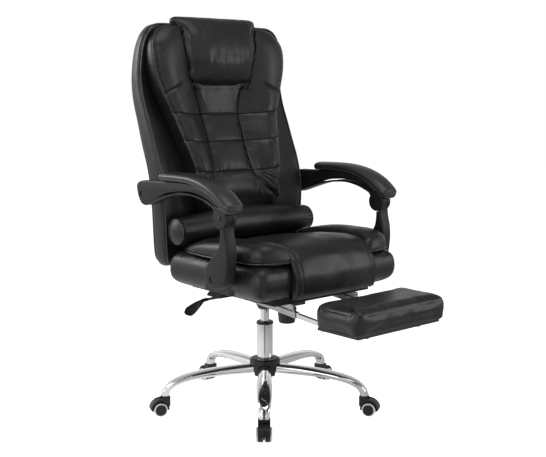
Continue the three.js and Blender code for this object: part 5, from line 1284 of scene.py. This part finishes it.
def hub_cover_form():
    """A hollow cap over the hub, with an arch for each leg."""
    profile = [
        (25.3, 144.4), (43, 144.4), (39, 101), (43.5, 101), (46.2, 118), (47.6, 138), (47.8, 146),
        (46.6, 149.6), (43.6, 152), (38, 153), (26.6, 153), (25.4, 152),
    ]
    around = np.linspace(0, 2 * np.pi, 121)[:-1]
    rings = [[(radius * math.cos(a), radius * math.sin(a), z) for a in around] for radius, z in profile]
    cap = loft("hub_cover_form", rings, 35, close_ends=False)
    build = bmesh.new()
    build.from_mesh(cap.data)
    bmesh.ops.bridge_loops(build, edges=[e for e in build.edges if e.is_boundary])
    bmesh.ops.recalc_face_normals(build, faces=build.faces)
    build.to_mesh(cap.data)
    build.free()
    arch = [(-18.9, 96), (18.9, 96), (18.9, 130), (12.9, 136.8), (-12.9, 136.8), (-18.9, 130)]
    cutters = []
    for heading in HEADINGS:
        cutters.append(loft("hub_slot", [[(reach, y, z) for y, z in arch] for reach in (0.0, 80.0)]))
        cutters[-1].data.transform(Matrix.Rotation(heading - math.pi / 2, 4, "Z"))
    return shade(cut_away(cap, *cutters), 30)


def castor_hood_form():
    """The hood in the castor's own frame: the axle along X and the stem behind it."""
    inner, outer = 24.5, 29.5
    front, back, top = 23 / 2 - TRAIL, -23 / 2 - TRAIL, LEG_END - 0.6 - AXLE_Z
    low, rear = math.radians(2), math.radians(158)
    arc = [(outer * math.cos(a), outer * math.sin(a)) for a in np.linspace(low, math.acos(front / outer), 40)]
    back_arc = [(inner * math.cos(a), inner * math.sin(a)) for a in np.linspace(rear, low, 44)]
    boss = [(front, top), (back, top)]
    fender = plate("fender", arc + boss + [(back, inner * math.sin(rear))] + back_arc, 18.0, 1.6, steps=3)
    web = plate("web", arc + boss + [(back, -8), (24, -8)], 2.5, 0.6, steps=1)
    axle = turned("axle", rounded(rod(4, -15.5, 15.5), 1), ACROSS, facets=24)
    ear = [(-30, 24), (-27, 34), (-22, top - 1.5), (-14, top - 1), (-6, 33), (4, 30.5), (14, 27), (4, 24.5)]
    ear = smooth_line([*ear, (-12, 23.5), (-30, 24)], 40)[:-1]
    ears = [plate("ear", ear, 2.2, 1.0, place_x=side * 14.8, steps=2) for side in (LEFT, RIGHT)]
    stem = turned("stem", rod(5.5, top - 3, 78 - AXLE_Z), place=(0, -TRAIL, 0), facets=24)
    return merge("castor_hood_form", [fender, web, axle, stem, *ears], 35)


def wheel_forms():
    """A wheel on the castor's +X side: its dark tread, its pale ring and its black cap."""
    tread = [
        (4.3, 16.1), (4.3, 3.1), (18.5, 3.1), (20.4, 3.4), (20.95, 6), (20.95, 17.2), (20.4, 17.8),
        (15, 21.3), (0, 21.3),
    ]
    ring = [(16.9, 18.0), (20.9, 18.0), (20.95, 20.4), (19.8, 22.9), (17.6, 23.7), (16.9, 23.0), (16.9, 18.0)]
    cap = [(0, 21.4), (16.7, 21.5), (16.7, 22.9), (14.5, 23.5), (9, 23.3), (8.4, 22.7), (7.6, 23.3)]
    cap.append((0, 23.6))
    rows = (("wheel_body", tread, 1.0, 72), ("wheel_ring", ring, 0.9, 72), ("wheel_cap", cap, 0.6, 64))
    return [
        turned(name, rounded(line, radius, 3), ACROSS, facets=facets, angle=40)
        for name, line, radius, facets in rows
    ]


# Footrest pad

FOOT_HALF, FOOT_REAR, FOOT_FRONT, FOOT_BOTTOM = 178.0, -408.0, -574.0, 351.0
FOOT_PROFILE = [
    [3, 351], [1, 352], [0, 355], [0, 363], [-1, 375], [-1, 392], [0, 401], [2, 408], [6.5, 413.5],
    [14, 417], [28, 418.6], [48, 419],
]


def foot_hold(spots):
    """Keeps the pad on its board."""
    spots = spots.copy()
    spots[:, 2] = np.maximum(spots[:, 2], FOOT_BOTTOM)
    return spots


def foot_folds(spots):
    """Small pulls along the edges, and a sunk seam round the sides."""
    x, y, z = spots.T
    pulled = wander(spots * [1, 1, 0.35], 12, 62) * 0.7 * np.exp(-np.abs(z - 409) / 9)
    pulled += wander(spots * [1, 1, 0.35], 12, 64) * 0.5 * np.exp(-np.abs(z - 358) / 8)
    inside = (np.abs(x) < FOOT_HALF - 16) & (y > FOOT_FRONT + 16) & (y < FOOT_REAR - 16)
    return wander(spots, 60, 61) * 0.9 + pulled - 0.9 * groove(z - 406.5, 2.4) * ~inside


def foot_cover():
    rings = []
    for inset, z in smooth_line(FOOT_PROFILE, 36):
        sides = (FOOT_FRONT - 1 + inset, FOOT_REAR + 1 - inset, FOOT_HALF + 1 - inset)
        rings.append(spots_at(*rounded_ring(*sides, max(20 - inset * 0.4, 9), 1, 10, 24).T, z))
    return crease(swell(loft("footrest_cushion_cover", rings), 4.5, 5, foot_hold), foot_folds, foot_hold)


# Small controls


def knob_form():
    """The tension knob, with twelve grips sunk in its side."""
    rings = []
    for radius, z in rounded([(0, 284), (23, 284), (25, 286.5), (30, 331), (4, 331)], 2.5, 4):
        ring = []
        for angle in [2 * math.pi * i / 144 for i in range(144)]:
            grip = 1.3 * max(0.0, math.cos(angle * 12)) ** 3
            grip = grip * smoothstep(z, 288, 294) * (1 - smoothstep(z, 324, 329))
            reach = radius - float(grip) * (radius > 20)
            ring.append((reach * math.cos(angle), -103 + reach * math.sin(angle), z))
        rings.append(ring)
    return loft("tension_knob_form", rings, 40)


def paddle_form():
    """The height lever's flat spoon: it falls and turns its front edge down towards the tip."""
    drop = curve_of([0, 0.05, 0.3, 0.62, 0.9, 1])
    wide = curve_of([0.36, 0.5, 0.85, 1.0, 1.0, 0.72])
    thick = curve_of([1.1, 1.0, 0.85, 0.7, 0.62, 0.5])
    rings = []
    for t in 1 - (1 - np.linspace(0, 1, 44)) ** 1.4:
        fall = float(drop(t))
        turn = math.radians(40) * fall
        end = math.sqrt(max(1 - max((t - 0.78) / 0.22, 0) ** 2, 0.004))
        forward = np.array([0, math.cos(turn), math.sin(turn)])
        up = np.array([0, -math.sin(turn), math.cos(turn)])
        half, half_depth = 17 * float(wide(t)) * end, 4.4 * float(thick(t)) * (0.5 + 0.5 * end)
        ring = squarish_ring((-226.3 - 84 * t, 0, 371 - 30 * fall), forward, up, half, half_depth, 2.4, 44)
        from_middle = ring - ring.mean(axis=0)
        across = from_middle @ forward / max(half, 1)
        dip = 2.2 * smoothstep(t, 0.2, 0.5) * np.maximum(1 - across**2, 0) * ((from_middle @ up) > 0)
        rings.append(ring - dip[:, None] * up)
    return loft("height_paddle_form", rings, 60)


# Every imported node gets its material

NODE_MATERIALS = {
    "black_leather": BODY_LEATHER,
    "black_plastic": BLACK_PLASTIC,
    "arm_plastic": ARM_PLASTIC,
    "wheel_nylon": RIM_GREY,
    "bright_chrome": CHROME,
    "black_steel": BLACK_STEEL,
    "bare_steel": ZINC,
    "seat_board": LINING,
}
for part in frame["record"]["subparts"]:
    for place in frame["nodes"][part["node"]].material_slots:
        place.material = NODE_MATERIALS[part["material_slot"]]

# The back

cover(shell_cover(), "back", "back_shell")
trim(sweep("back_rim_piping", shell_line(0.978, 0.0, 0.993) + [0, -1.0, 0], 2.8), LIGHTENED_PIPING_LEATHER)
trim(sweep("back_side_welt", shell_line(1.002, 0.13, 0.985), 1.6), LIGHTENED_PIPING_LEATHER)
trim(sweep("back_rear_piping", shell_line(0.96, 0.70, 0.985), 2.6), LIGHTENED_PIPING_LEATHER)
cover(pad_cover(), "back", "back_pad")
pillow = cover(pillow_cover(), "back", "head_pillow")
cover(roll_cover(), "back", "lumbar_roll")

# The pad's seams and the crease over each shoulder: near-black cords sunk in them as painted shadow
for number, row in enumerate(QUILT_ROWS, 1):
    share = np.linspace(-0.965, 0.965, 220)
    z = row_height(row, np.abs(share))
    trim(sweep(f"quilt_seam_shadow_{number}", on_pad(share * pad_half(z), z, 0.3), 1.5, 6), SEAM_SHADOW)
for name, side in SIDES:
    z = np.linspace(642, 1004, 220)
    thick = 0.5 + 1.0 * smoothstep(z, 690, 735)
    trim(sweep(f"upright_seam_{name}", on_pad(side * seam_across(z), z, 1.0), thick, 6), SEAM_SHADOW)
    x = side * np.linspace(150, 247, 90)
    thick = 1.2 * np.sin(np.linspace(0.5, 3.0, 90))
    trim(sweep(f"shoulder_crease_shadow_{name}", on_pad(x, shoulder_height(x), 0.1), thick, 6), SEAM_SHADOW)

# Piping on the pad's edge with stitches beside it, and near-black cords along the pillow's side seams as
# painted shadow of the gaps there
for name, side in SIDES:
    z = PAD_FOOT + 8 + (PAD_HEAD - PAD_FOOT - 16) * np.linspace(0, 1, 300)
    x = side * (pad_half(z) * 0.985)
    edge = spots_at(x, pad_front(x, z) + 1.5, z)
    trim(sweep(f"pad_edge_piping_{name}", edge, 2.2, 8), LIGHTENED_PIPING_LEATHER)
    beside = on_pad(side * (pad_half(z) - 17), z, 0.3)
    trim(stitches(f"pad_edge_stitches_{name}", beside, 7.0, 4.4, 0.75), THREAD)
    trim(sweep(f"pillow_gap_shadow_{name}", pillow_gap_shadow(pillow, side), 1.8, 8), SEAM_SHADOW)

# The roll's end seams: a near-black cord sunk in each as painted shadow, and stitches beside it
for name, side in SIDES:
    trim(sweep(f"roll_seam_shadow_{name}", roll_circle(side * (ROLL_HALF - 5.8), 38.6), 1.5, 6, True), SEAM_SHADOW)
    threads = roll_circle(side * (ROLL_HALF - 2.0), 38.8)
    trim(stitches(f"roll_stitches_{name}", np.vstack([threads, threads[:1]]), 6.0, 3.6, 0.7), THREAD)

# The seat

cover(cushion_cover(), "seat", "seat_cushion")
cover(panel_cover(), "seat", "seat_topper")
cover(bed_cover(), "seat", "seat_topper")
for name, side in SIDES:
    cover(wing_cover(f"seat_wing_{name}", side), "seat", "seat_topper")
    trim(wing_welt(f"seat_wing_welt_{name}", side), LIGHTENED_PIPING_LEATHER, "seat")
    trim(sweep(f"panel_piping_{name}", panel_line(side, 2.5), 1.5, 8), BODY_LEATHER, "seat")
    trim(stitches(f"panel_stitches_{name}", panel_line(side, 20.0), 7.0, 4.4, 0.7), THREAD, "seat")

# The armrests

arm_forms = [arm_pad_cover("arm_pad"), arm_frame("arm_frame"), arm_post("arm_post")]
PIN_HEAD = [(4.9, 19.1), (8, 19.1), (7.8, 19.7), (6.6, 20.6), (4, 21.4), (0, 21.7)]
for name, side in SIDES:
    turn = Matrix.Diagonal((side, 1, 1, 1))
    kinds = ("arm_pad_cover", "arm_frame_form", "arm_post_form")
    pad, form, post = (placed(piece, turn, f"{kind}_{name}") for piece, kind in zip(arm_forms, kinds))
    dress(pad, ARM_SKIN, f"armrest_{name}", [f"arm_pad_{name}"])
    dress(form, ARM_PLASTIC, f"armrest_{name}", [f"arm_frame_{name}"])
    dress(post, ARM_PLASTIC, f"post_{name}", [f"arm_post_{name}"])
    ring = rounded(rod(28.8, -TONGUE_HALF, TONGUE_HALF, PIN_RADIUS), 1)
    tongue = turned(f"post_tongue_{name}", ring, ACROSS, (side * ARM_X, *KNUCKLE), 64)
    dress(tongue, ARM_PLASTIC, f"post_{name}")
    pin = across_arm(f"knuckle_pin_form_{name}", [(0, -18.7), (4.9, -18.7), *PIN_HEAD], KNUCKLE, 48, side, 60)
    dress(pin, ARM_PLASTIC, f"armrest_{name}", [f"knuckle_pin_{name}"])

# The footrest pad

cover(foot_cover(), "footrest_pad", "footrest_cushion")

# The base, the column and the controls

leg, hood, (wheel_body, wheel_ring, wheel_cap) = leg_form(), castor_hood_form(), wheel_forms()
for i, heading in enumerate(HEADINGS, 1):
    turn = Matrix.Rotation(heading - math.pi / 2, 4, "Z")
    dress(placed(leg, turn, f"leg_form_{i}"), CHROME, "base", [f"base_leg_{i}"])
    reach = (STEM_CIRCLE + TRAIL) * MM
    spot = Matrix.Translation((reach * math.sin(heading), -reach * math.cos(heading), AXLE_Z * MM))
    at = spot @ Matrix.Rotation(heading + math.pi, 4, "Z")
    shell = placed(hood, at, f"hood_form_{i}")
    dress(shell, BLACK_PLASTIC, f"castor_{i}", [f"castor_hood_{i}"])
    for name, side in SIDES:
        here = at @ (Matrix.Identity(4) if side == LEFT else Matrix.Rotation(math.pi, 4, "Z"))
        body = f"wheel_{name}_{i}"
        wheel = placed(wheel_body, here, f"wheel_form_{name}_{i}")
        dress(wheel, TREAD, body, [f"castor_wheel_{name}_{i}"])
        dress(placed(wheel_ring, here, f"wheel_ring_{name}_{i}"), RIM_GREY, body)
        dress(placed(wheel_cap, here, f"wheel_cap_{name}_{i}"), BLACK_PLASTIC, body)
for spare in (*arm_forms, leg, hood, wheel_body, wheel_ring, wheel_cap):
    bpy.data.objects.remove(spare)

dress(hub_cover_form(), BLACK_PLASTIC, "base", ["hub_cover"])
tube = rounded([(0, 91), (25, 91), (25, 262), (14.4, 262), (14.4, 99), (0, 99)], 0.8)
dress(turned("column_form", tube, facets=96), CHROME, "base", ["gas_spring_tube"])
collar = [(14.4, 262.3), (26.6, 262.3), (27, 263.5), (27, 267), (25, 271), (14.4, 271), (14.4, 262.3)]
collar = turned("collar_form", rounded(collar, 1.0), facets=96)
dress(collar, BLACK_PLASTIC, "base", ["column_collar"])
spring_rod = turned("spring_rod_form", rod(14, 148, 344), facets=96)
dress(spring_rod, CHROME, "lift", ["gas_spring_rod"])
dress(knob_form(), BLACK_PLASTIC, "tension_control", ["tension_knob"])
dress(paddle_form(), BLACK_PLASTIC, "height_lever", ["height_lever_paddle"])


# The studio


def area_light(name, spot, target, size, watts):
    light = bpy.data.lights.new(name, "AREA")
    light.shape = "RECTANGLE"
    light.size, light.size_y = size
    light.energy = watts
    lamp = add_object(name, light)
    lamp.location = spot
    lamp.rotation_euler = (Vector(target) - Vector(spot)).to_track_quat("-Z", "Y").to_euler()


area_light("key_left", (-2.4, -0.9, 1.75), (0, 0, 0.75), (1.0, 1.8), 9)
area_light("fill_right", (2.0, -2.3, 1.3), (0, 0, 0.7), (0.9, 1.5), 12)
area_light("top", (-0.1, -0.9, 2.8), (0, -0.1, 0.5), (1.6, 1.2), 12)
area_light("rear_left", (-1.15, 1.2, 1.45), (-0.2, 0.15, 1.0), (0.7, 0.8), 11)


def room_tone(tree, direction):
    """How bright the studio's walls look in a reflection, by direction."""

    def vector_node(operation, *inputs):
        return add_node(tree, "ShaderNodeVectorMath", dict(enumerate(inputs)), operation=operation).outputs

    level = vector_node("NORMALIZE", vector_node("MULTIPLY", direction, (1, 1, 0))[0])[0]
    near = vector_node("DOT_PRODUCT", level, (-0.6605, -0.7508, 0))["Value"]
    right = vector_node("DOT_PRODUCT", level, (0.7508, -0.6605, 0))["Value"]
    height = add_node(tree, "ShaderNodeSeparateXYZ", {0: direction}).outputs["Z"]
    walls = remap(tree, right, -0.95, 0.95, 1.25, 0.6)
    behind = remap(tree, near, -0.85, -0.3, 0.95, 1.0)
    ahead = remap(tree, near, 0.984, 0.996, 1.0, 0.12)
    low = remap(tree, height, 0.0, 0.05, 0.45, 1.0)
    high = remap(tree, height, 0.15, 0.6, 1.0, 0.4)
    tone = maths(tree, "MULTIPLY", maths(tree, "MULTIPLY", walls, behind), ahead)
    return maths(tree, "MULTIPLY", tone, maths(tree, "MULTIPLY", low, high))


def background(tree, strength):
    return add_node(tree, "ShaderNodeBackground", {"Color": (1, 1, 1, 1), "Strength": strength}).outputs[0]


def shader_mix(tree, factor, first, second):
    return add_node(tree, "ShaderNodeMixShader", {0: factor, 1: first, 2: second}).outputs[0]


world = bpy.data.worlds.new("white studio")
bpy.context.scene.world = world
world.use_nodes = True
tree = world.node_tree
tree.nodes.clear()
rays = tree.nodes.new("ShaderNodeLightPath").outputs
sky = add_node(tree, "ShaderNodeTexCoord").outputs["Generated"]
lit = shader_mix(tree, rays["Is Glossy Ray"], background(tree, 0.26), background(tree, room_tone(tree, sky)))
shown = maths(tree, "MAXIMUM", rays["Is Camera Ray"], rays["Is Transmission Ray"])
add_node(tree, "ShaderNodeOutputWorld", {0: shader_mix(tree, shown, lit, background(tree, 1.0))})

floor_mesh = bpy.data.meshes.new("floor")
floor_mesh.from_pydata([(-9, -9, 0), (9, -9, 0), (9, 9, 0), (-9, 9, 0)], [], [(0, 1, 2, 3)])
floor_paint, tree, given = start_material("pale floor", grey(0.86), roughness=0.8, specular=0.1)
given["Emission Color"].default_value = (1, 1, 1, 1)
mirrored = tree.nodes.new("ShaderNodeLightPath").outputs["Is Glossy Ray"]
place = own_place(tree)
far = add_node(tree, "ShaderNodeVectorMath", {0: place}, operation="LENGTH").outputs["Value"]
tone = maths(tree, "MULTIPLY", room_tone(tree, place), remap(tree, far, 0.8, 2.2, 1.45, 0.85))
glow = add_node(tree, "ShaderNodeMix", {0: mirrored, 2: 0.9, 3: tone}, data_type="FLOAT")
feed(tree, given["Emission Strength"], glow.outputs[0])
feed(tree, given["Base Color"], colour_mix(tree, mirrored, grey(0.86), grey(0.08)))
floor_mesh.materials.append(floor_paint)
floor = add_object("floor", floor_mesh)

camera_data = bpy.data.cameras.new("camera")
camera_data.sensor_width = 36
camera_data.lens = 65.32
camera_data.clip_end = 60
camera = add_object("camera", camera_data)
back_way = Vector((-0.654, -0.7433, 0.1399)).normalized()
right_way = Vector((0.7507, -0.6606, 0)).normalized()
up_way = back_way.cross(right_way).normalized()
right_way = up_way.cross(back_way).normalized()
camera.matrix_world = Matrix((right_way, up_way, back_way)).transposed().to_4x4()
camera.matrix_world.translation = (-1.988, -2.298, 0.992)
bpy.context.scene.camera = camera
bpy.context.scene.view_settings.view_transform = "Standard"
